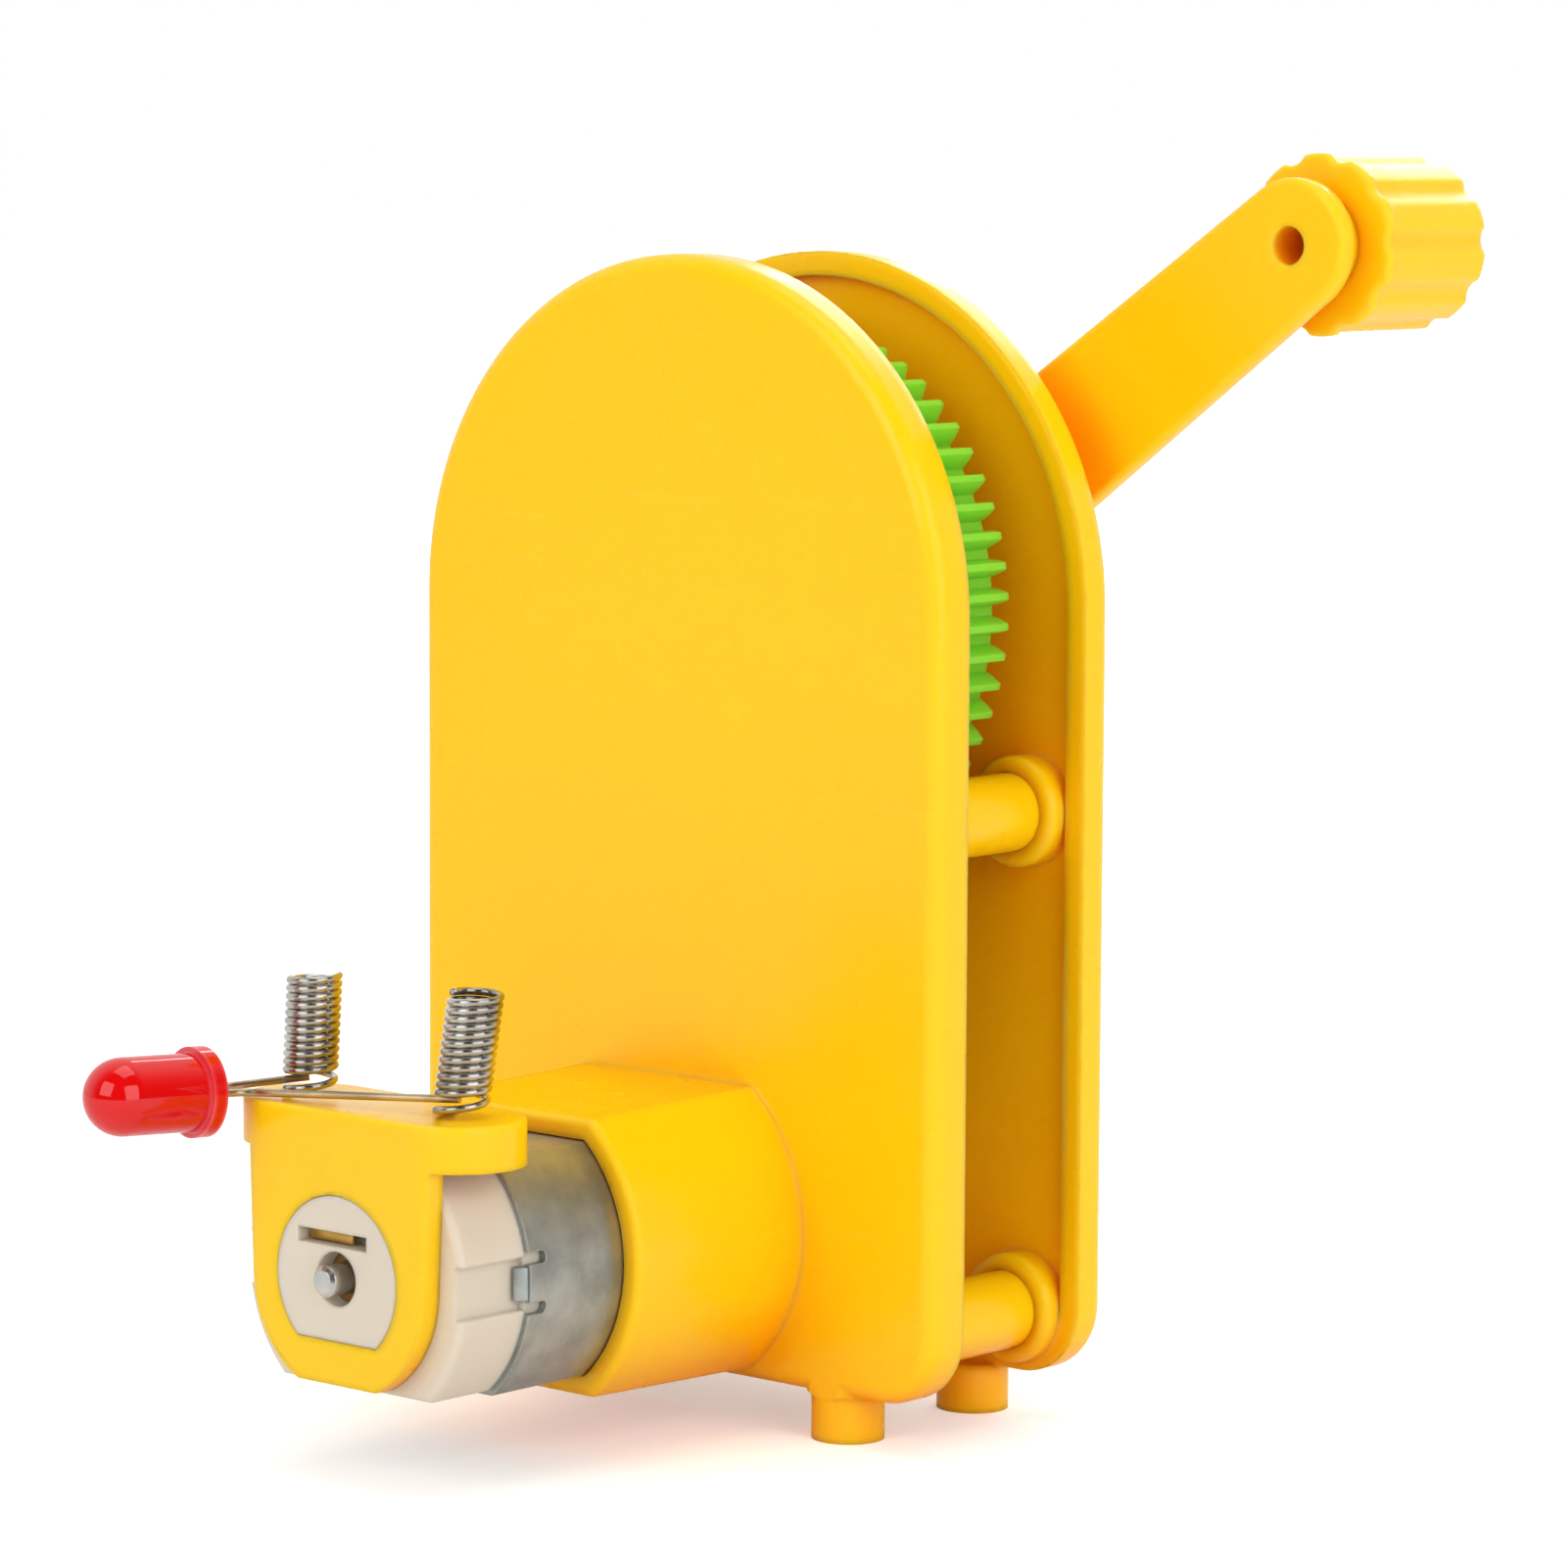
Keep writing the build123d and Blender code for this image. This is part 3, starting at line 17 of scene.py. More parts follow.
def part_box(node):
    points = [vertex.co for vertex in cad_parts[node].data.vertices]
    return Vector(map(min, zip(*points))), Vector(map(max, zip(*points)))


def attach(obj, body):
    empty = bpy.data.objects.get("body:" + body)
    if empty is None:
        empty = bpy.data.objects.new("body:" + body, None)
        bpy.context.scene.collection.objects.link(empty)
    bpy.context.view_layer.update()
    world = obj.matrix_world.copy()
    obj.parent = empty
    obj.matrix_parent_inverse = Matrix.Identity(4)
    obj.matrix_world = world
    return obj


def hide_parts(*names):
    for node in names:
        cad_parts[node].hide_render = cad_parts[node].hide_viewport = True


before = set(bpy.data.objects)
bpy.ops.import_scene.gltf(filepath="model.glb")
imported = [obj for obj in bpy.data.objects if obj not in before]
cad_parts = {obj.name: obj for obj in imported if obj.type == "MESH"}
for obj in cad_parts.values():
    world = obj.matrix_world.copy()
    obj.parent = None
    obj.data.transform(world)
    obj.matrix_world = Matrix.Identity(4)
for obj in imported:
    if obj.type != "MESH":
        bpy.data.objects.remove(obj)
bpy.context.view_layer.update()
MM = 0.001

# %% [markdown]
# ## Camera
#
# The photograph was taken from the front right and a little above, with a long lens, so the plates' sides
# stay almost parallel. A camera's direction is easiest to state as an azimuth and an elevation. Its matrix
# is then built from three vectors: right, up, and the one that points back at the photographer.

# %% Place the camera
CAMERA_PLACE = Vector((260.24, -291.49, 85.31)) * MM
CAMERA_AZIMUTH = math.radians(41.511)
CAMERA_ELEVATION = math.radians(6.4225)
CAMERA_ROLL = math.radians(0.3056)
LENS_MM = 135.0
SENSOR_MM = 36.0
NEAREST_SEEN = 0.01
FARTHEST_SEEN = 20.0

back = Vector((
    math.sin(CAMERA_AZIMUTH) * math.cos(CAMERA_ELEVATION),
    -math.cos(CAMERA_AZIMUTH) * math.cos(CAMERA_ELEVATION),
    math.sin(CAMERA_ELEVATION),
))
level_right = Vector((math.cos(CAMERA_AZIMUTH), math.sin(CAMERA_AZIMUTH), 0))
level_up = back.cross(level_right)
right = level_right * math.cos(CAMERA_ROLL) + level_up * math.sin(CAMERA_ROLL)
up = back.cross(right)

camera = bpy.data.objects.new("camera", bpy.data.cameras.new("camera"))
bpy.context.scene.collection.objects.link(camera)
turn = Matrix((right, up, back)).transposed().to_4x4()
camera.matrix_world = Matrix.Translation(CAMERA_PLACE) @ turn
camera.data.lens = LENS_MM
camera.data.sensor_width = SENSOR_MM
camera.data.clip_start = NEAREST_SEEN
camera.data.clip_end = FARTHEST_SEEN
bpy.context.scene.camera = camera
bpy.context.scene.view_settings.view_transform = "Standard"
print("camera distance, mm:", round(CAMERA_PLACE.length / MM))

# %% [markdown]
# ## Nodes in a few words
#
# A material is a small graph. These helpers make one node with its values in one line, and join two
# sockets, so that each finish below reads like a recipe.


# %% Node helpers
def node(tree, kind, **values):
    """A new node; a value whose name is a socket's sets that socket, and any other sets a property."""
    made = tree.nodes.new("ShaderNode" + kind)
    for name, value in values.items():
        socket = made.inputs.get(name.replace("_", " "))
        if socket is not None:
            socket.default_value = value
        else:
            setattr(made, name, value)
    return made


def join(tree, source, target):
    """A link from an output to an input."""
    tree.links.new(source, target)


def srgb(red, green, blue):
    """A colour picked on screen, from 0 to 255, as the linear values that a shader takes."""
    def linear(value):
        value /= 255
        if value <= 0.04045:
            return value / 12.92
        return ((value + 0.055) / 1.055) ** 2.4

    return (linear(red), linear(green), linear(blue), 1.0)


def math_node(tree, operation, *operands):
    """A Math node's output; each operand is a socket or a number."""
    made = node(tree, "Math", operation=operation)
    for socket, value in zip(made.inputs, operands):
        if isinstance(value, (int, float)):
            socket.default_value = value
        else:
            join(tree, value, socket)
    return made.outputs[0]


def ramp(tree, source, low, high):
    """0 below low, 1 above high, and a smooth rise between them."""
    made = node(tree, "MapRange", interpolation_type="SMOOTHSTEP", From_Min=low, From_Max=high)
    join(tree, source, made.inputs["Value"])
    return made.outputs["Result"]


print("a mid grey of 128 is", round(srgb(128, 128, 128)[0], 3), "as a linear value")

# %% [markdown]
# ## The room
#
# The photograph is a product on white. A picture of a studio could light it, but a plain world keeps the
# colours easy to judge. The Light Path node tells what kind of ray asks: the camera, and rays through
# clear things, see white. Mirrors see white too, except on the photographer's side, which is dim as in a
# real studio, so that polished wire gets dark bands between its highlights. All other rays get an even
# fill, which stays moderate so that a colour renders about as it is written.

# %% World
ROOM_FILL = 0.62
DIM_SIDE = 0.03
DIM_FROM, DIM_TO = -0.35, 0.35
world = bpy.data.worlds.new("studio")
bpy.context.scene.world = world
world.use_nodes = True
tree = world.node_tree
tree.nodes.clear()
path = node(tree, "LightPath")
facing = node(tree, "VectorMath", operation="DOT_PRODUCT")
join(tree, node(tree, "TexCoord").outputs["Generated"], facing.inputs[0])
facing.inputs[1].default_value = back
near_camera = ramp(tree, facing.outputs["Value"], DIM_FROM, DIM_TO)
dimming = math_node(tree, "MULTIPLY", near_camera, 1 - DIM_SIDE)
mirrored = math_node(tree, "SUBTRACT", 1.0, dimming)
seen = math_node(tree, "MAXIMUM", path.outputs["Is Camera Ray"], path.outputs["Is Transmission Ray"])
plain = math_node(tree, "MULTIPLY_ADD", seen, 1 - ROOM_FILL, ROOM_FILL)
to_mirror = math_node(tree, "SUBTRACT", mirrored, plain)
strength = math_node(tree, "MULTIPLY_ADD", path.outputs["Is Glossy Ray"], to_mirror, plain)
room = node(tree, "Background", Color=(1, 1, 1, 1))
join(tree, strength, room.inputs["Strength"])
join(tree, room.outputs[0], node(tree, "OutputWorld").inputs[0])
print("room fill", ROOM_FILL)

# %% [markdown]
# ## Lamps
#
# Every turn of the photographed springs shows two white spots with a dark gap between them, so two large
# soft boxes stood to the left and right of the camera. A point lamp would give hard shadows, so these are
# area lamps, half a metre across or a little more. A third overhead and a fourth behind keep the top and
# the back from going flat. A lamp shines along its -Z axis, so its Z axis points away from the plates.


# %% Lamps
MIDDLE = Vector((0, 0, 0.04))


def softbox(name, place, size, watts):
    """A square lamp that faces the middle of the plates."""
    lamp = bpy.data.lights.new(name, "AREA")
    lamp.shape = "SQUARE"
    lamp.size = size
    lamp.energy = watts
    holder = bpy.data.objects.new(name, lamp)
    bpy.context.scene.collection.objects.link(holder)
    holder.location = place
    holder.rotation_mode = "QUATERNION"
    holder.rotation_quaternion = (Vector(place) - MIDDLE).to_track_quat("Z", "Y")


softbox("left_box", (-0.06, -0.72, 0.38), 0.50, 1.85)
softbox("right_box", (0.75, -0.20, 0.30), 0.60, 2.7)
softbox("overhead", (0.05, 0.00, 0.80), 0.50, 1.5)
softbox("behind", (-0.25, 0.75, 0.45), 0.50, 3.0)

# %% [markdown]
# ## Floor
#
# The object stands on white paper that runs far back. A shadow catcher would keep only the shadow, but
# plain paper also throws light up at the object, as in the studio. Lit paper is a little grey, so the
# camera also sees a glow from it: weak under the object, where the shadow should stay, and strong further
# away. Only camera rays see the glow, so it doesn't light the object.

# %% Floor
FLOOR_HALF = 3.0
GLOW_NEAR, GLOW_FAR = 0.34, 0.86
GLOW_START, GLOW_END = 0.10, 0.9
PAPER_WHITE = 0.86
bm = bmesh.new()
bmesh.ops.create_grid(bm, x_segments=1, y_segments=1, size=FLOOR_HALF)
floor_mesh = bpy.data.meshes.new("floor")
bm.to_mesh(floor_mesh)
bm.free()
floor = bpy.data.objects.new("floor", floor_mesh)
bpy.context.scene.collection.objects.link(floor)

paper = bpy.data.materials.new("white_paper")
paper.use_nodes = True
tree = paper.node_tree
tree.nodes.clear()
diffuse = node(tree, "BsdfDiffuse", Color=(PAPER_WHITE, PAPER_WHITE, PAPER_WHITE, 1))
away = node(tree, "VectorMath", operation="LENGTH")
join(tree, node(tree, "TexCoord").outputs["Object"], away.inputs[0])
further = ramp(tree, away.outputs["Value"], GLOW_START, GLOW_END)
spread = math_node(tree, "MULTIPLY_ADD", further, GLOW_FAR - GLOW_NEAR, GLOW_NEAR)
seen = node(tree, "LightPath").outputs["Is Camera Ray"]
glow = node(tree, "Emission", Color=(1, 1, 1, 1))
join(tree, math_node(tree, "MULTIPLY", seen, spread), glow.inputs["Strength"])
both = node(tree, "AddShader")
join(tree, diffuse.outputs[0], both.inputs[0])
join(tree, glow.outputs[0], both.inputs[1])
join(tree, both.outputs[0], node(tree, "OutputMaterial").inputs[0])
floor_mesh.materials.append(paper)
print("floor:", 2 * FLOOR_HALF, "m square")

# %% [markdown]
# ## Effects that several finishes share
#
# Every moulded piece has the same faint unevenness, handling marks and bright edges, at different
# strengths. A shader node group holds such an effect once, with named inputs, and each material places it
# with its own values. Object coordinates are in metres, so a scale of 1000 makes features of about 1 mm.


# %% Group helpers
def effect(name, inputs, outputs, normal=False):
    """An empty node group with float inputs and outputs, and its two end nodes."""
    group = bpy.data.node_groups.new(name, "ShaderNodeTree")
    for label, default in inputs.items():
        socket = group.interface.new_socket(label, in_out="INPUT", socket_type="NodeSocketFloat")
        socket.default_value = default
    for label in outputs:
        group.interface.new_socket(label, in_out="OUTPUT", socket_type="NodeSocketFloat")
    if normal:
        group.interface.new_socket("Normal", in_out="OUTPUT", socket_type="NodeSocketVector")
    start = group.nodes.new("NodeGroupInput")
    end = group.nodes.new("NodeGroupOutput")
    print("group:", name)
    return group, start.outputs, end.inputs


def here(tree):
    """The point's place on its own object, in metres."""
    return node(tree, "TexCoord").outputs["Object"]


def noise(tree, coordinates, scale, detail=2.0, roughness=0.5):
    """A noise value; scale is a number or a socket."""
    made = node(tree, "TexNoise", Detail=detail, Roughness=roughness)
    join(tree, coordinates, made.inputs["Vector"])
    if isinstance(scale, (int, float)):
        made.inputs["Scale"].default_value = scale
    else:
        join(tree, scale, made.inputs["Scale"])
    return made.outputs["Fac"]


print("group helpers ready: an effect, a place and a noise")

# %% [markdown]
# ## Moulded skin
#
# Injection-moulded plastic is never quite flat: it has a soft ripple from uneven cooling, a fine orange
# peel from the tool, and pigment that is a touch uneven. Modelling that would take millions of faces, so
# layered noise gives a height for a bump, a tint and a gloss value.

# %% Moulded skin
PEEL_SHARE = 0.25
TINT_SCALE = 28.0
GLOSS_SCALE = 140.0
CLOUD_LOW, CLOUD_HIGH = 0.35, 0.7
moulded_skin, start, end = effect(
    "moulded_skin", {"Peel Scale": 1500.0, "Ripple Scale": 90.0}, ["Height", "Tint", "Gloss"]
)
place = here(moulded_skin)
peel = noise(moulded_skin, place, start["Peel Scale"], 3.0)
ripple = noise(moulded_skin, place, start["Ripple Scale"], 1.0)
join(moulded_skin, math_node(moulded_skin, "MULTIPLY_ADD", peel, PEEL_SHARE, ripple), end["Height"])
tint = noise(moulded_skin, place, TINT_SCALE)
join(moulded_skin, ramp(moulded_skin, tint, CLOUD_LOW, CLOUD_HIGH), end["Tint"])
gloss = noise(moulded_skin, place, GLOSS_SCALE, 3.0, 0.65)
join(moulded_skin, ramp(moulded_skin, gloss, CLOUD_LOW, CLOUD_HIGH), end["Gloss"])

# %% [markdown]
# ## Soft, worn and painted-bright edges
#
# No moulded edge is sharp, and corners are rubbed, so they catch the light. The Bevel node gives a normal
# that turns smoothly round an edge. It serves twice here: as the normal itself, which also softens the
# inner corner where the motor holder grows out of the plate, and as a mask, because it differs from the
# true normal only near an edge. Noise breaks the mask up. The paler colour that a material paints with
# the mask is partly wear and partly a painted highlight.

# %% Worn edges and painted highlight
EDGE_FROM, EDGE_TO = 0.02, 0.22
BROKEN_FROM, BROKEN_TO = 0.3, 0.6
edge_wear_and_sheen, start, end = effect(
    "edge_wear_and_sheen", {"Width": 0.0004, "Breakup Scale": 700.0}, ["Mask"], normal=True
)
rounded = node(edge_wear_and_sheen, "Bevel", samples=4)
join(edge_wear_and_sheen, start["Width"], rounded.inputs["Radius"])
likeness = node(edge_wear_and_sheen, "VectorMath", operation="DOT_PRODUCT")
join(edge_wear_and_sheen, rounded.outputs["Normal"], likeness.inputs[0])
join(edge_wear_and_sheen, node(edge_wear_and_sheen, "NewGeometry").outputs["Normal"], likeness.inputs[1])
unlike = math_node(edge_wear_and_sheen, "SUBTRACT", 1.0, likeness.outputs["Value"])
edge = ramp(edge_wear_and_sheen, unlike, EDGE_FROM, EDGE_TO)
breakup = noise(edge_wear_and_sheen, here(edge_wear_and_sheen), start["Breakup Scale"], 4.0, 0.6)
broken = ramp(edge_wear_and_sheen, breakup, BROKEN_FROM, BROKEN_TO)
# The mask marks where a paler colour is painted: partly wear, partly a painted highlight.
join(edge_wear_and_sheen, math_node(edge_wear_and_sheen, "MULTIPLY", edge, broken), end["Mask"])
join(edge_wear_and_sheen, rounded.outputs["Normal"], end["Normal"])

# %% [markdown]
# ## Cavities and painted bounce light
#
# Light that bounces several times between faces of one bright plastic picks up its colour at each bounce,
# and some also comes through the thin walls. That is why the gap between the plates glows orange. A few
# bounces give only part of it. A painted gradient would be fixed to one shape, so the Ambient Occlusion
# node measures how enclosed a point is, and a material's base colour is painted towards a deeper colour
# there. That deeper colour is painted bounce light.

# %% Cavities
OPEN_ENOUGH, DEEP_INSIDE = 0.48, 0.90
cavities, start, end = effect("cavities", {"Reach": 0.016}, ["Mask"])
open_sky = node(cavities, "AmbientOcclusion", samples=4)
join(cavities, start["Reach"], open_sky.inputs["Distance"])
enclosed = math_node(cavities, "SUBTRACT", 1.0, open_sky.outputs["AO"])
join(cavities, ramp(cavities, enclosed, OPEN_ENOUGH, DEEP_INSIDE), end["Mask"])

# %% [markdown]
# ## Handling marks
#
# A toy that is used gets hairline scratches and dull patches from fingers. Noise that is stretched a lot
# along one direction, and cut off near its peak, leaves thin short lines. Two directions look random
# enough. Broad noise gives the patches.

# %% Handling marks
SCRATCH_TILTS = (0.5, -0.9)
SCRATCH_STRETCH = (60, 60, 1500)
SCRATCH_FROM, SCRATCH_TO = 0.735, 0.76
PATCH_SCALE = 75.0
PATCH_FROM, PATCH_TO = 0.52, 0.68
handling, start, end = effect("handling_marks", {"Density": 1.0}, ["Scratches", "Smudges"])
each_way = []
for tilt in SCRATCH_TILTS:
    mapping = node(handling, "Mapping", Rotation=(0.2, tilt, 0.4), Scale=SCRATCH_STRETCH)
    join(handling, here(handling), mapping.inputs["Vector"])
    streaks = noise(handling, mapping.outputs["Vector"], 1.0, 1.0)
    each_way.append(ramp(handling, streaks, SCRATCH_FROM, SCRATCH_TO))
scratches = math_node(handling, "MAXIMUM", *each_way)
join(handling, math_node(handling, "MULTIPLY", scratches, start["Density"]), end["Scratches"])
patches = ramp(handling, noise(handling, here(handling), PATCH_SCALE, 5.0, 0.6), PATCH_FROM, PATCH_TO)
join(handling, math_node(handling, "MULTIPLY", patches, start["Density"]), end["Smudges"])

# %% [markdown]
# ## Drawn metal
#
# Sheet and wire carry fine lines from rolling or drawing, all along one axis. Noise whose coordinates are
# scaled differently along each axis gives them, and a coarser noise gives the cloudy tone of plating.

# %% Drawn metal
drawn_metal, start, end = effect(
    "drawn_metal",
    {"Along X": 1.0, "Along Y": 1.0, "Along Z": 1.0, "Cloud Scale": 220.0},
    ["Height", "Tone"],
)
stretch = node(drawn_metal, "CombineXYZ")
for axis in "XYZ":
    join(drawn_metal, start["Along " + axis], stretch.inputs[axis])
scaled = node(drawn_metal, "VectorMath", operation="MULTIPLY")
join(drawn_metal, here(drawn_metal), scaled.inputs[0])
join(drawn_metal, stretch.outputs[0], scaled.inputs[1])
join(drawn_metal, noise(drawn_metal, scaled.outputs[0], 1.0, 4.0, 0.7), end["Height"])
join(drawn_metal, noise(drawn_metal, here(drawn_metal), start["Cloud Scale"], 4.0, 0.6), end["Tone"])

# %% [markdown]
# ## A recipe for moulded plastic
#
# Yellow, green, ivory and white pieces are all moulded, so one recipe serves them: a base colour that
# drifts slightly, paler edges that are partly wear and partly a painted highlight, dull finger marks, a
# few hairlines, and a very shallow bump. Where a piece asks for it, the base colour also leans to a deeper
# colour in cavities, which is painted bounce light. The numbers that don't vary over the surface are set
# on the shader itself.


# %% Colours and materials
MIX_AMOUNT, MIX_FIRST, MIX_SECOND = 0, 6, 7
MIX_RESULT = 2


def use(tree, group, **values):
    """Places a group and sets its inputs."""
    made = tree.nodes.new("ShaderNodeGroup")
    made.node_tree = group
    for name, value in values.items():
        made.inputs[name.replace("_", " ")].default_value = value
    return made.outputs


def mix_colour(tree, amount, first, second):
    """A colour between two others; each of the three is a socket or a value."""
    made = node(tree, "Mix", data_type="RGBA")
    for number, value in ((MIX_AMOUNT, amount), (MIX_FIRST, first), (MIX_SECOND, second)):
        if isinstance(value, (int, float, tuple)):
            made.inputs[number].default_value = value
        else:
            join(tree, value, made.inputs[number])
    return made.outputs[MIX_RESULT]


def start_material(name):
    """A material with one Principled shader; returns the material, its tree and the shader's sockets."""
    material = bpy.data.materials.new(name)
    material.use_nodes = True
    tree = material.node_tree
    tree.nodes.clear()
    shader = node(tree, "BsdfPrincipled")
    join(tree, shader.outputs[0], node(tree, "OutputMaterial").inputs[0])
    return material, tree, shader.inputs


def add_bump(tree, sockets, height, distance, strength, normal=None):
    """A shallow bump on top of a normal."""
    bump = node(tree, "Bump", Strength=strength, Distance=distance)
    join(tree, height, bump.inputs["Height"])
    if normal is not None:
        join(tree, normal, bump.inputs["Normal"])
    join(tree, bump.outputs["Normal"], sockets["Normal"])


print("a Mix node's colours are its inputs", MIX_FIRST, "and", MIX_SECOND)

# %% Recipe for moulded plastic
MARKS_ON_PLASTIC = 0.6
TINT_SHARE = 0.5
EDGE_SHARE = 0.22
SCRATCH_SHARE = 0.10
GLOSS_SPREAD = 0.10
SMUDGE_DULLING = 0.08
LIGHT_INSIDE = 0.5
SKIN_RELIEF = 0.00003
SKIN_BUMP = 0.6
PLASTIC_IOR = 1.5


def moulded(
    name, colour, deeper, edge_colour, roughness, edge_width=0.0004, shine=0.4,
    light_depth=None, painted_bounce_colour=None,
):
    """Moulded plastic: colour drifts towards deeper, edges to edge_colour as wear and painted highlight,
    cavities to painted bounce light.
    """
    material, tree, sockets = start_material(name)
    skin = use(tree, moulded_skin)
    marks = use(tree, handling, Density=MARKS_ON_PLASTIC)
    wear_and_sheen_edges = use(tree, edge_wear_and_sheen, Width=edge_width)
    base = mix_colour(tree, math_node(tree, "MULTIPLY", skin["Tint"], TINT_SHARE), colour, deeper)
    # Painted bounce light: where the cavity mask finds a point enclosed, the base colour leans to a deeper
    # colour.
    if painted_bounce_colour is not None:
        base = mix_colour(tree, use(tree, cavities)["Mask"], base, painted_bounce_colour)
    # Paler edges, partly wear and partly a painted highlight; hairline scratches pale the colour too.
    pale = math_node(tree, "MULTIPLY", wear_and_sheen_edges["Mask"], EDGE_SHARE)
    pale = math_node(tree, "MULTIPLY_ADD", marks["Scratches"], SCRATCH_SHARE, pale)
    join(tree, mix_colour(tree, pale, base, edge_colour), sockets["Base Color"])
    rough = math_node(tree, "MULTIPLY_ADD", skin["Gloss"], GLOSS_SPREAD, roughness)
    rough = math_node(tree, "MULTIPLY_ADD", marks["Smudges"], SMUDGE_DULLING, rough)
    join(tree, rough, sockets["Roughness"])
    sockets["IOR"].default_value = PLASTIC_IOR
    sockets["Specular IOR Level"].default_value = shine
    if light_depth is not None:
        sockets["Subsurface Weight"].default_value = LIGHT_INSIDE
        sockets["Subsurface Radius"].default_value = light_depth
        sockets["Subsurface Scale"].default_value = 1.0
    add_bump(tree, sockets, skin["Height"], SKIN_RELIEF, SKIN_BUMP, wear_and_sheen_edges["Normal"])
    return material


def wear(material, *names):
    """Puts a material on CAD nodes."""
    for name in names:
        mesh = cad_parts[name].data
        mesh.materials.clear()
        mesh.materials.append(material)
    print(f"{material.name}: {', '.join(names)}")


print("moulded skin stands", round(SKIN_RELIEF / MM, 3), "mm high")

# %% [markdown]
# ## Yellow casing
#
# The two plates, the crank arm, the knob and the terminal bracket are the same glossy yellow plastic. A
# flat yellow would look painted. The real one is slightly translucent: red light travels furthest inside
# it, so thin walls and deep gaps turn orange. Subsurface scattering with a longer distance for red does
# part of that, and in the deep gaps the base colour is also painted orange, as painted bounce light.
# Elsewhere the base colour is what the well-lit front plate shows.

# %% Yellow plastic
# The orange for enclosed places is painted bounce light; the pale edge colour is partly wear, partly
# painted highlight.
yellow = moulded(
    "yellow_abs", srgb(255, 200, 8), srgb(255, 193, 4), srgb(255, 226, 90), 0.19, edge_width=0.0008,
    shine=0.30, light_depth=(0.0018, 0.0010, 0.0002), painted_bounce_colour=srgb(255, 152, 0),
)
wear(yellow, "front_shell", "back_shell", "crank_arm", "crank_knob", "terminal_bracket")

# %% [markdown]
# ## Green gears
#
# The big gear and the idler are moulded from a fresh green, a little duller than the casing. The same
# recipe serves them, as they are made the same way. Their teeth are small, so the edges are softened over
# a much shorter width than on the plates, or the whole tooth would look melted.

# %% Green plastic
# The pale edge colour is partly wear and partly a painted highlight.
green = moulded(
    "green_gear_plastic", srgb(134, 216, 56), srgb(116, 202, 44), srgb(196, 240, 146), 0.28,
    edge_width=0.00016, light_depth=(0.0010, 0.0014, 0.0004),
)
wear(green, "crank_gear", "idler_gear")

# %% [markdown]
# ## Ivory end bell and white pinion
#
# The motor's end bell is ivory nylon, which looks waxy because light goes a little way into it, and it is
# rougher than the casing. A coating would give a shine but not that soft look, so it has scattering too.
# The pinion on the motor shaft is whiter, and the commutator sits on a brown phenolic sleeve. Both are
# small and hardly seen, so they get the recipe with narrower edges and without scattering.

# %% Ivory, white and brown plastic
SMALL_EDGE = 0.0001
# Each pale edge colour here is partly wear and partly a painted highlight.
ivory = moulded(
    "ivory_end_bell", srgb(217, 207, 190), srgb(203, 190, 170), srgb(246, 241, 232), 0.34,
    light_depth=(0.0012, 0.0009, 0.0006),
)
wear(ivory, "motor_end_bell")
white_nylon = moulded(
    "white_nylon", srgb(238, 236, 228), srgb(228, 225, 215), srgb(250, 249, 245), 0.42,
    edge_width=SMALL_EDGE,
)
wear(white_nylon, "motor_pinion")
phenolic = moulded(
    "brown_phenolic", srgb(88, 50, 32), srgb(72, 40, 26), srgb(130, 90, 66), 0.5,
    edge_width=SMALL_EDGE,
)
wear(phenolic, "commutator_sleeve")

# %% [markdown]
# ## A recipe for metal
#
# The motor's can is drawn from zinc-plated sheet, so its lines run along the motor. Wire and turned
# parts are smoother. A clean metal shader would only mirror the room and look like glass, so all of them
# share one recipe: a metal whose tone and roughness drift, with fine lines that only just tilt the light,
# and edges where the plating is rubbed bright.


# %% Recipe for metal
METAL_EDGE = 0.00015
MARKS_ON_METAL = 0.8
TONE_FROM, TONE_TO = 0.3, 0.7
BRIGHT_EDGE_SHARE = 0.6
TONE_DULLING = 0.16
SMUDGE_ON_METAL = 0.10
METAL_BUMP = 0.7


def metal(name, colour, darker, bright, roughness, lines, depth=0.000004, cloud=220.0):
    """Plated or bare metal; lines are the feature counts per metre along each axis."""
    material, tree, sockets = start_material(name)
    along_x, along_y, along_z = lines
    drawn = use(
        tree, drawn_metal, Along_X=along_x, Along_Y=along_y, Along_Z=along_z, Cloud_Scale=cloud
    )
    wear_and_sheen_edges = use(tree, edge_wear_and_sheen, Width=METAL_EDGE)
    marks = use(tree, handling, Density=MARKS_ON_METAL)
    base = mix_colour(tree, ramp(tree, drawn["Tone"], TONE_FROM, TONE_TO), colour, darker)
    polished = math_node(tree, "MULTIPLY", wear_and_sheen_edges["Mask"], BRIGHT_EDGE_SHARE)
    join(tree, mix_colour(tree, polished, base, bright), sockets["Base Color"])
    rough = math_node(tree, "MULTIPLY_ADD", drawn["Tone"], TONE_DULLING, roughness)
    rough = math_node(tree, "MULTIPLY_ADD", marks["Smudges"], SMUDGE_ON_METAL, rough)
    join(tree, rough, sockets["Roughness"])
    sockets["Metallic"].default_value = 1.0
    add_bump(tree, sockets, drawn["Height"], depth, METAL_BUMP, wear_and_sheen_edges["Normal"])
    return material


print("metal edges are rubbed over", round(METAL_EDGE / MM, 3), "mm")

# %% [markdown]
# ## Metals of the motor
#
# The can is zinc-plated steel, the shafts and screws are bright steel, the armature core is a stack of
# thin sheets, and the bearings are bronze with oil in it. One grey for all would lose what tells them
# apart, so each has its own colour, its own sharpness, and lines that run as it was made: along the can,
# and across the stack of sheets.

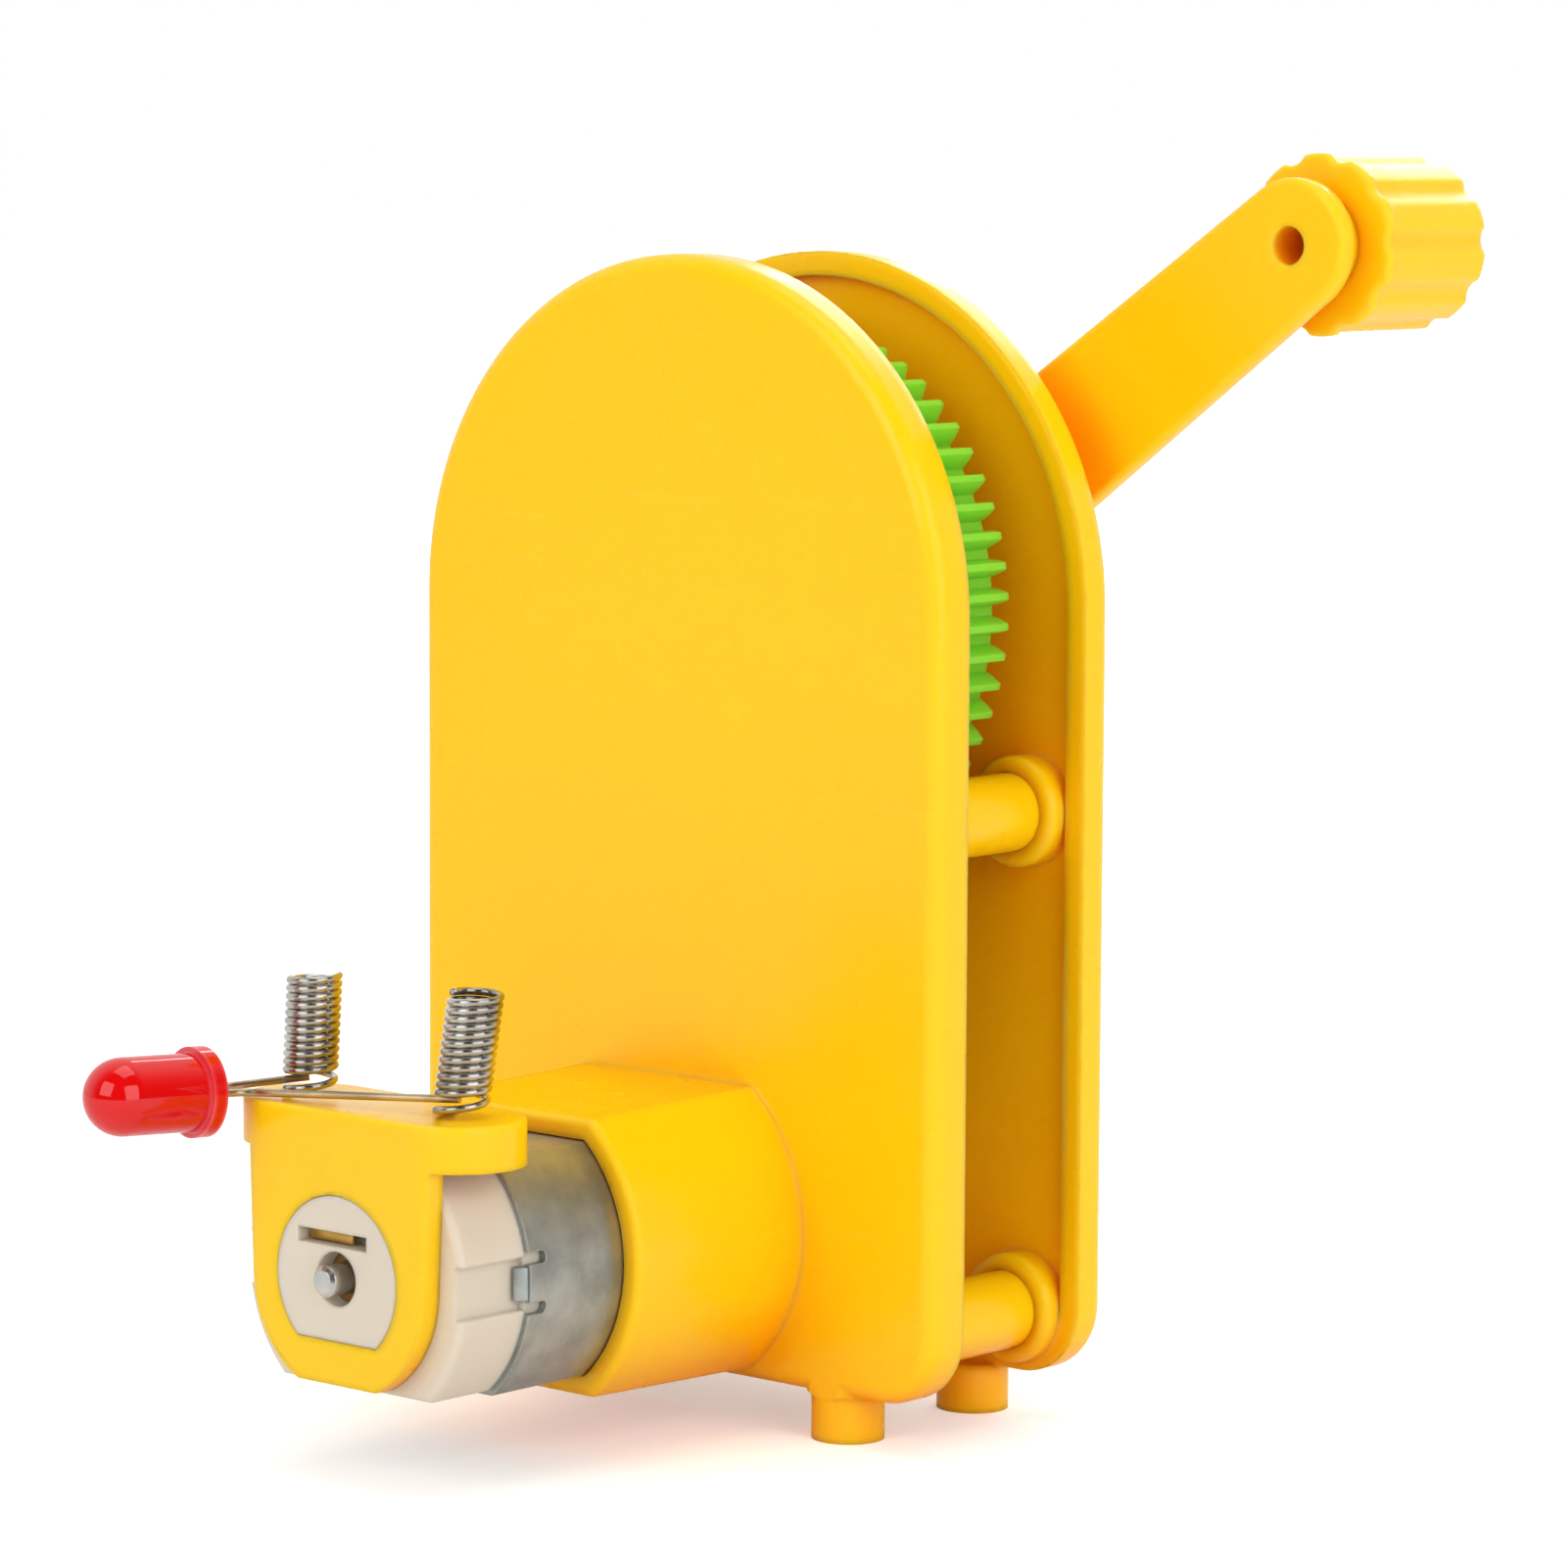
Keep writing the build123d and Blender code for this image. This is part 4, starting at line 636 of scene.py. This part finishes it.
# %% Metals of the motor
can_steel = metal(
    "zinc_plated_can", srgb(182, 187, 184), srgb(150, 156, 154), srgb(232, 233, 230), 0.34,
    (2600, 60, 2600), depth=0.000006, cloud=260.0,
)
wear(can_steel, "motor_can")
bright_steel = metal(
    "bright_steel", srgb(204, 203, 198), srgb(172, 172, 168), srgb(230, 230, 226), 0.18, (900, 900, 900)
)
wear(bright_steel, "motor_shaft", "idler_axle", "case_screws", "hub_screw", "knob_screw")
core_steel = metal(
    "core_sheets", srgb(120, 120, 122), srgb(96, 96, 98), srgb(170, 170, 172), 0.42,
    (40, 4200, 40), depth=0.00003,
)
wear(core_steel, "armature_core")
bronze = metal(
    "oiled_bronze", srgb(158, 124, 78), srgb(128, 98, 60), srgb(196, 160, 110), 0.42, (700, 700, 700)
)
wear(bronze, "motor_bearings")

# %% [markdown]
# ## Brass, copper and tin
#
# The terminal tabs are brass sheet, the commutator and the brush blades are copper, and the LED's legs
# are tinned wire. In the photograph the tin looks a little warm, so its colour leans to yellow rather
# than to the blue of new tin. The recipe for metal makes all three from three colours each.

# %% Brass, copper and tin
brass = metal(
    "brass_strip", srgb(214, 176, 96), srgb(190, 150, 76), srgb(238, 208, 140), 0.26, (120, 2400, 2400)
)
wear(brass, "terminal_tabs")
copper = metal(
    "bright_copper", srgb(214, 140, 100), srgb(188, 112, 78), srgb(240, 180, 144), 0.25, (1800, 200, 1800)
)
wear(copper, "commutator", "brushes")
tin = metal(
    "tinned_leads", srgb(206, 190, 156), srgb(158, 136, 98), srgb(232, 222, 200), 0.2, (900, 900, 900)
)
wear(tin, "led_leads")

# %% [markdown]
# ## Magnets
#
# The two magnets are inside the can, but a motor that is taken apart shows them. Ferrite is a dull dark
# ceramic with a sandy surface. Neither recipe fits it, so it is built by hand: one fine noise drives its
# colour, its roughness and its bump, which keeps the three in step, as they are on a real grain.

# %% Ferrite
SAND_SCALE = 2600.0
SAND_RELIEF = 0.00003
DULL_FROM, DULL_TO = -0.6, 1.2
ferrite, tree, sockets = start_material("ferrite")
sand = noise(tree, here(tree), SAND_SCALE, 4.0, 0.7)
join(tree, mix_colour(tree, sand, srgb(44, 44, 47), srgb(66, 65, 66)), sockets["Base Color"])
join(tree, ramp(tree, sand, DULL_FROM, DULL_TO), sockets["Roughness"])
add_bump(tree, sockets, sand, SAND_RELIEF, METAL_BUMP)
wear(ferrite, "motor_magnets")

# %% [markdown]
# ## Windings
#
# The three coils are enamelled copper wire, laid in rows. Sweeping every turn would be slow for something
# that the can hides, and the CAD gives each coil as one solid. So a wave texture draws the rows of wire on
# it in relief, and in colour as painted shade and highlight: dark between the round wires, light along
# them. Enamel over copper is less of a mirror than bare copper.

# %% Enamelled wire
ROW_SCALE = 260.0
ROW_RELIEF = 0.0001
enamel, tree, sockets = start_material("enamelled_wire")
rows = node(
    tree, "TexWave", wave_type="BANDS", bands_direction="DIAGONAL", Scale=ROW_SCALE, Distortion=0.6
)
join(tree, here(tree), rows.inputs["Vector"])
lines = rows.outputs["Fac"]
# Painted shade and highlight: dark brown between the rows of wire, light copper along them.
join(tree, mix_colour(tree, lines, srgb(120, 52, 20), srgb(206, 112, 54)), sockets["Base Color"])
sockets["Metallic"].default_value = 0.7
sockets["Roughness"].default_value = 0.3
add_bump(tree, sockets, lines, ROW_RELIEF, 0.8)
wear(enamel, "armature_windings")

# %% [markdown]
# ## The red LED
#
# The lens is a diffused red epoxy: light goes in a little way and comes back red, so the body looks solid,
# while its polished skin mirrors the soft boxes as small white spots on the dome. Clear red glass would
# show the floor through it, which the photograph doesn't, so it has scattering and no transmission. The
# thin flange lets light through, which shows as a pink rim. That rim is painted light: the edge mask
# paints a pale pink on the flange's edges.

# %% Red epoxy
LENS_GLOSS_SPREAD = 0.03
LENS_ROUGHNESS = 0.04
LENS_LIGHT_INSIDE = 0.15
LENS_RELIEF = 0.000004
lens, tree, sockets = start_material("red_epoxy")
skin = use(tree, moulded_skin, Peel_Scale=900.0, Ripple_Scale=260.0)
rim = use(tree, edge_wear_and_sheen, Width=0.0005, Breakup_Scale=60.0)
base = mix_colour(tree, skin["Tint"], srgb(214, 8, 10), srgb(198, 6, 9))
# Painted light: the pale pink on the flange's edges stands in for light coming through the thin flange.
join(tree, mix_colour(tree, rim["Mask"], base, srgb(250, 120, 130)), sockets["Base Color"])
rough = math_node(tree, "MULTIPLY_ADD", skin["Gloss"], LENS_GLOSS_SPREAD, LENS_ROUGHNESS)
join(tree, rough, sockets["Roughness"])
sockets["IOR"].default_value = PLASTIC_IOR
sockets["Subsurface Weight"].default_value = LENS_LIGHT_INSIDE
sockets["Subsurface Radius"].default_value = (0.0012, 0.0002, 0.0002)
sockets["Subsurface Scale"].default_value = 1.0
add_bump(tree, sockets, skin["Height"], LENS_RELIEF, 0.5)
wear(lens, "led_lens")

# %% [markdown]
# ## Pieces made here
#
# A new piece is shaped in a bmesh and then written to a mesh whose object sits at the origin, as the CAD
# nodes do.


# %% Finish a piece
SAME_PLACE = 1e-7


def finish_piece(bm, name, material):
    """Writes a bmesh, given in metres in the frame, as a named piece that rides on the case."""
    bmesh.ops.remove_doubles(bm, verts=bm.verts, dist=SAME_PLACE)
    bmesh.ops.recalc_face_normals(bm, faces=bm.faces)
    mesh = bpy.data.meshes.new(name)
    bm.to_mesh(mesh)
    bm.free()
    mesh.materials.append(material)
    mesh.shade_smooth()
    piece = bpy.data.objects.new(name, mesh)
    bpy.context.scene.collection.objects.link(piece)
    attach(piece, "case")
    print(f"{name}: {len(mesh.polygons)} faces")
    return piece


print("points closer than", SAME_PLACE, "m are merged")

# %% [markdown]
# ## Spring terminals
#
# Each terminal is a spring wound almost closed. A bare wire is pushed between two turns and stays clamped.
# A stack of rings would look alike from afar, but its turns wouldn't be one wire. The bmesh spin tool with
# a lift per step sweeps a round wire into a true helix, and several spins in a row give turns of different
# pitch: the first leaves room for the LED's leg. The tail comes up through the shelf and bends into the
# first turn. The springs lean to the right, so the whole coil is sheared a little at the end.

# %% Spring sizes
WIRE_RADIUS = 0.25 * MM
COIL_RADIUS = 1.55 * MM
WIRE_SIDES = 12
STEPS_PER_TURN = 32
CLOSED_PITCH = 0.525 * MM
CLAMP_PITCH = 1.30 * MM
TAIL_BEND = 0.6 * MM
TAIL_LENGTH = 3.0 * MM
BEND_STEPS = 8
nickel = metal(
    "nickel_wire", srgb(206, 203, 196), srgb(150, 145, 136), srgb(236, 235, 230), 0.06,
    (700, 700, 700), depth=0.000002,
)
print("closed turns are", round((CLOSED_PITCH - 2 * WIRE_RADIUS) / MM, 3), "mm apart")


# %% Sweep a helix
def helix(bm, ring, turns, pitch):
    """Sweeps the ring of edges round the Z axis and returns the new end ring."""
    steps = round(turns * STEPS_PER_TURN)
    made = bmesh.ops.spin(
        bm, geom=ring, cent=(0, 0, 0), axis=(0, 0, 1), dvec=(0, 0, turns * pitch / steps),
        angle=turns * math.tau, steps=steps, use_merge=False, use_duplicate=False,
    )
    return made["geom_last"]


print("a closed turn takes", STEPS_PER_TURN, "steps")


# %% Bend the tail
def start_tail(bm):
    """The straight tail and its bend; returns the ring of edges where the coil starts."""
    ring = bmesh.ops.create_circle(
        bm, cap_ends=False, segments=WIRE_SIDES, radius=WIRE_RADIUS
    )["verts"]
    bmesh.ops.translate(bm, verts=ring, vec=(COIL_RADIUS, -TAIL_BEND, -TAIL_LENGTH))
    made = bmesh.ops.extrude_edge_only(bm, edges=bm.edges[:])["geom"]
    tail_top = [v for v in made if isinstance(v, bmesh.types.BMVert)]
    bmesh.ops.translate(bm, verts=tail_top, vec=(0, 0, TAIL_LENGTH + WIRE_RADIUS - TAIL_BEND))
    ring = [part for part in made if not isinstance(part, bmesh.types.BMFace)]
    bent = bmesh.ops.spin(
        bm, geom=ring, cent=(COIL_RADIUS, 0, WIRE_RADIUS - TAIL_BEND), axis=(-1, 0, 0),
        dvec=(0, 0, 0), angle=math.pi / 2, steps=BEND_STEPS, use_merge=False, use_duplicate=False,
    )
    return bent["geom_last"]


print("the tail's bend takes", BEND_STEPS, "steps")


# %% Wind a spring
def wind_spring(name, node_name, foot, first_angle, closed_turns, lean):
    """A tail, a bend and a coil, built round the Z axis and then put on its foot."""
    bm = bmesh.new()
    ring = helix(bm, start_tail(bm), 1.0, CLAMP_PITCH)
    helix(bm, ring, closed_turns, CLOSED_PITCH)
    bmesh.ops.holes_fill(bm, edges=[e for e in bm.edges if e.is_boundary], sides=WIRE_SIDES)
    tilt = Matrix.Identity(4)
    tilt[0][2] = lean / (CLAMP_PITCH + closed_turns * CLOSED_PITCH)
    turned = Matrix.Rotation(first_angle, 4, "Z")
    bmesh.ops.transform(bm, verts=bm.verts, matrix=Matrix.Translation(foot) @ tilt @ turned)
    piece = finish_piece(bm, name, nickel)
    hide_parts(node_name)


print("the first turn rises", round(CLAMP_PITCH / MM, 3), "mm")

# %% Wind both springs
LEFT_START, RIGHT_START = math.radians(-140), math.radians(166)
LEFT_TURNS, RIGHT_TURNS = 11.5, 12.1
LEFT_LEAN, RIGHT_LEAN = 0.5 * MM, 1.4 * MM
SHELF_ROUND = 4.2 * MM
bracket_low, bracket_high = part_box("terminal_bracket")
spring_x = bracket_high.x - SHELF_ROUND
shelf_y = bracket_low.y + SHELF_ROUND
left_foot = Vector((-spring_x, shelf_y, bracket_high.z))
right_foot = Vector((spring_x, shelf_y, bracket_high.z))
wind_spring(
    "spring_left_wound", "spring_terminal_left", left_foot, LEFT_START, LEFT_TURNS, LEFT_LEAN
)
wind_spring(
    "spring_right_wound", "spring_terminal_right", right_foot, RIGHT_START, RIGHT_TURNS, RIGHT_LEAN
)

# %% [markdown]
# ## Crimp tabs
#
# The can holds its end bell with a tab on each side, freed by two slots and bent into the groove of the
# bell. The CAD keeps the tab straight. Bending the can's own mesh would change a CAD piece, so the bent tip
# is a small plate of its own with soft edges, turned inwards about the can's rim. It catches the light as
# the real one does.

# %% Crimp tabs
TAB_TIP = Vector((0.5, 1.0, 2.2)) * MM
TAB_SOFT = 0.15 * MM
TAB_TURN = math.radians(38)
TAB_INSET = 0.62
TAB_OVERLAP = 0.1 * MM
can_low, can_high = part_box("motor_can")
motor_z = (can_low.z + can_high.z) / 2
for name, side in (("crimp_tab_left", -1), ("crimp_tab_right", 1)):
    bm = bmesh.new()
    bmesh.ops.create_cube(bm, size=1.0, matrix=Matrix.Diagonal((*TAB_TIP, 1)))
    bmesh.ops.bevel(
        bm, geom=bm.edges[:], offset=TAB_SOFT, affect="EDGES", segments=3, profile=0.5, material=-1
    )
    rim_x = side * (can_high.x - TAB_TIP.x * TAB_INSET)
    rim = Vector((rim_x, can_low.y + TAB_OVERLAP, motor_z))
    bent = Matrix.Rotation(-side * TAB_TURN, 4, "Z") @ Matrix.Translation((0, -TAB_TIP.y / 2, 0))
    bmesh.ops.transform(bm, verts=bm.verts, matrix=Matrix.Translation(rim) @ bent)
    finish_piece(bm, name, can_steel)

# %% [markdown]
# ## Brush strip behind the boss slot
#
# Through the slot in the end bell's boss one sees the brass strip that carries the brush, dark and warm in
# the shadow, and a copper rivet to the right of it. A painted patch would stay flat when the view turns,
# so the strip is a thin bevelled plate and the rivet a small ball, both set back from the face.

# %% Brush strip
STRIP = Vector((3.9, 0.25, 0.75)) * MM
STRIP_SOFT = 0.06 * MM
STRIP_X = -1.35 * MM
STRIP_BACK = 1.0 * MM
SLOT_ABOVE = 2.5 * MM
RIVET_RADIUS = 0.34 * MM
RIVET_X = 2.0 * MM
RIVET_BEHIND = 0.1 * MM
bell_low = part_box("motor_end_bell")[0]
strip_y = bell_low.y + STRIP_BACK
slot_z = motor_z + SLOT_ABOVE
bm = bmesh.new()
bmesh.ops.create_cube(bm, size=1.0, matrix=Matrix.Diagonal((*STRIP, 1)))
bmesh.ops.bevel(
    bm, geom=bm.edges[:], offset=STRIP_SOFT, affect="EDGES", segments=2, profile=0.5, material=-1
)
bmesh.ops.translate(bm, verts=bm.verts, vec=(STRIP_X, strip_y, slot_z))
finish_piece(bm, "brush_strip", brass)

# %% Brush rivet
bm = bmesh.new()
bmesh.ops.create_uvsphere(bm, u_segments=20, v_segments=12, radius=RIVET_RADIUS)
bmesh.ops.translate(bm, verts=bm.verts, vec=(RIVET_X, strip_y + RIVET_BEHIND, slot_z))
finish_piece(bm, "brush_rivet", copper)
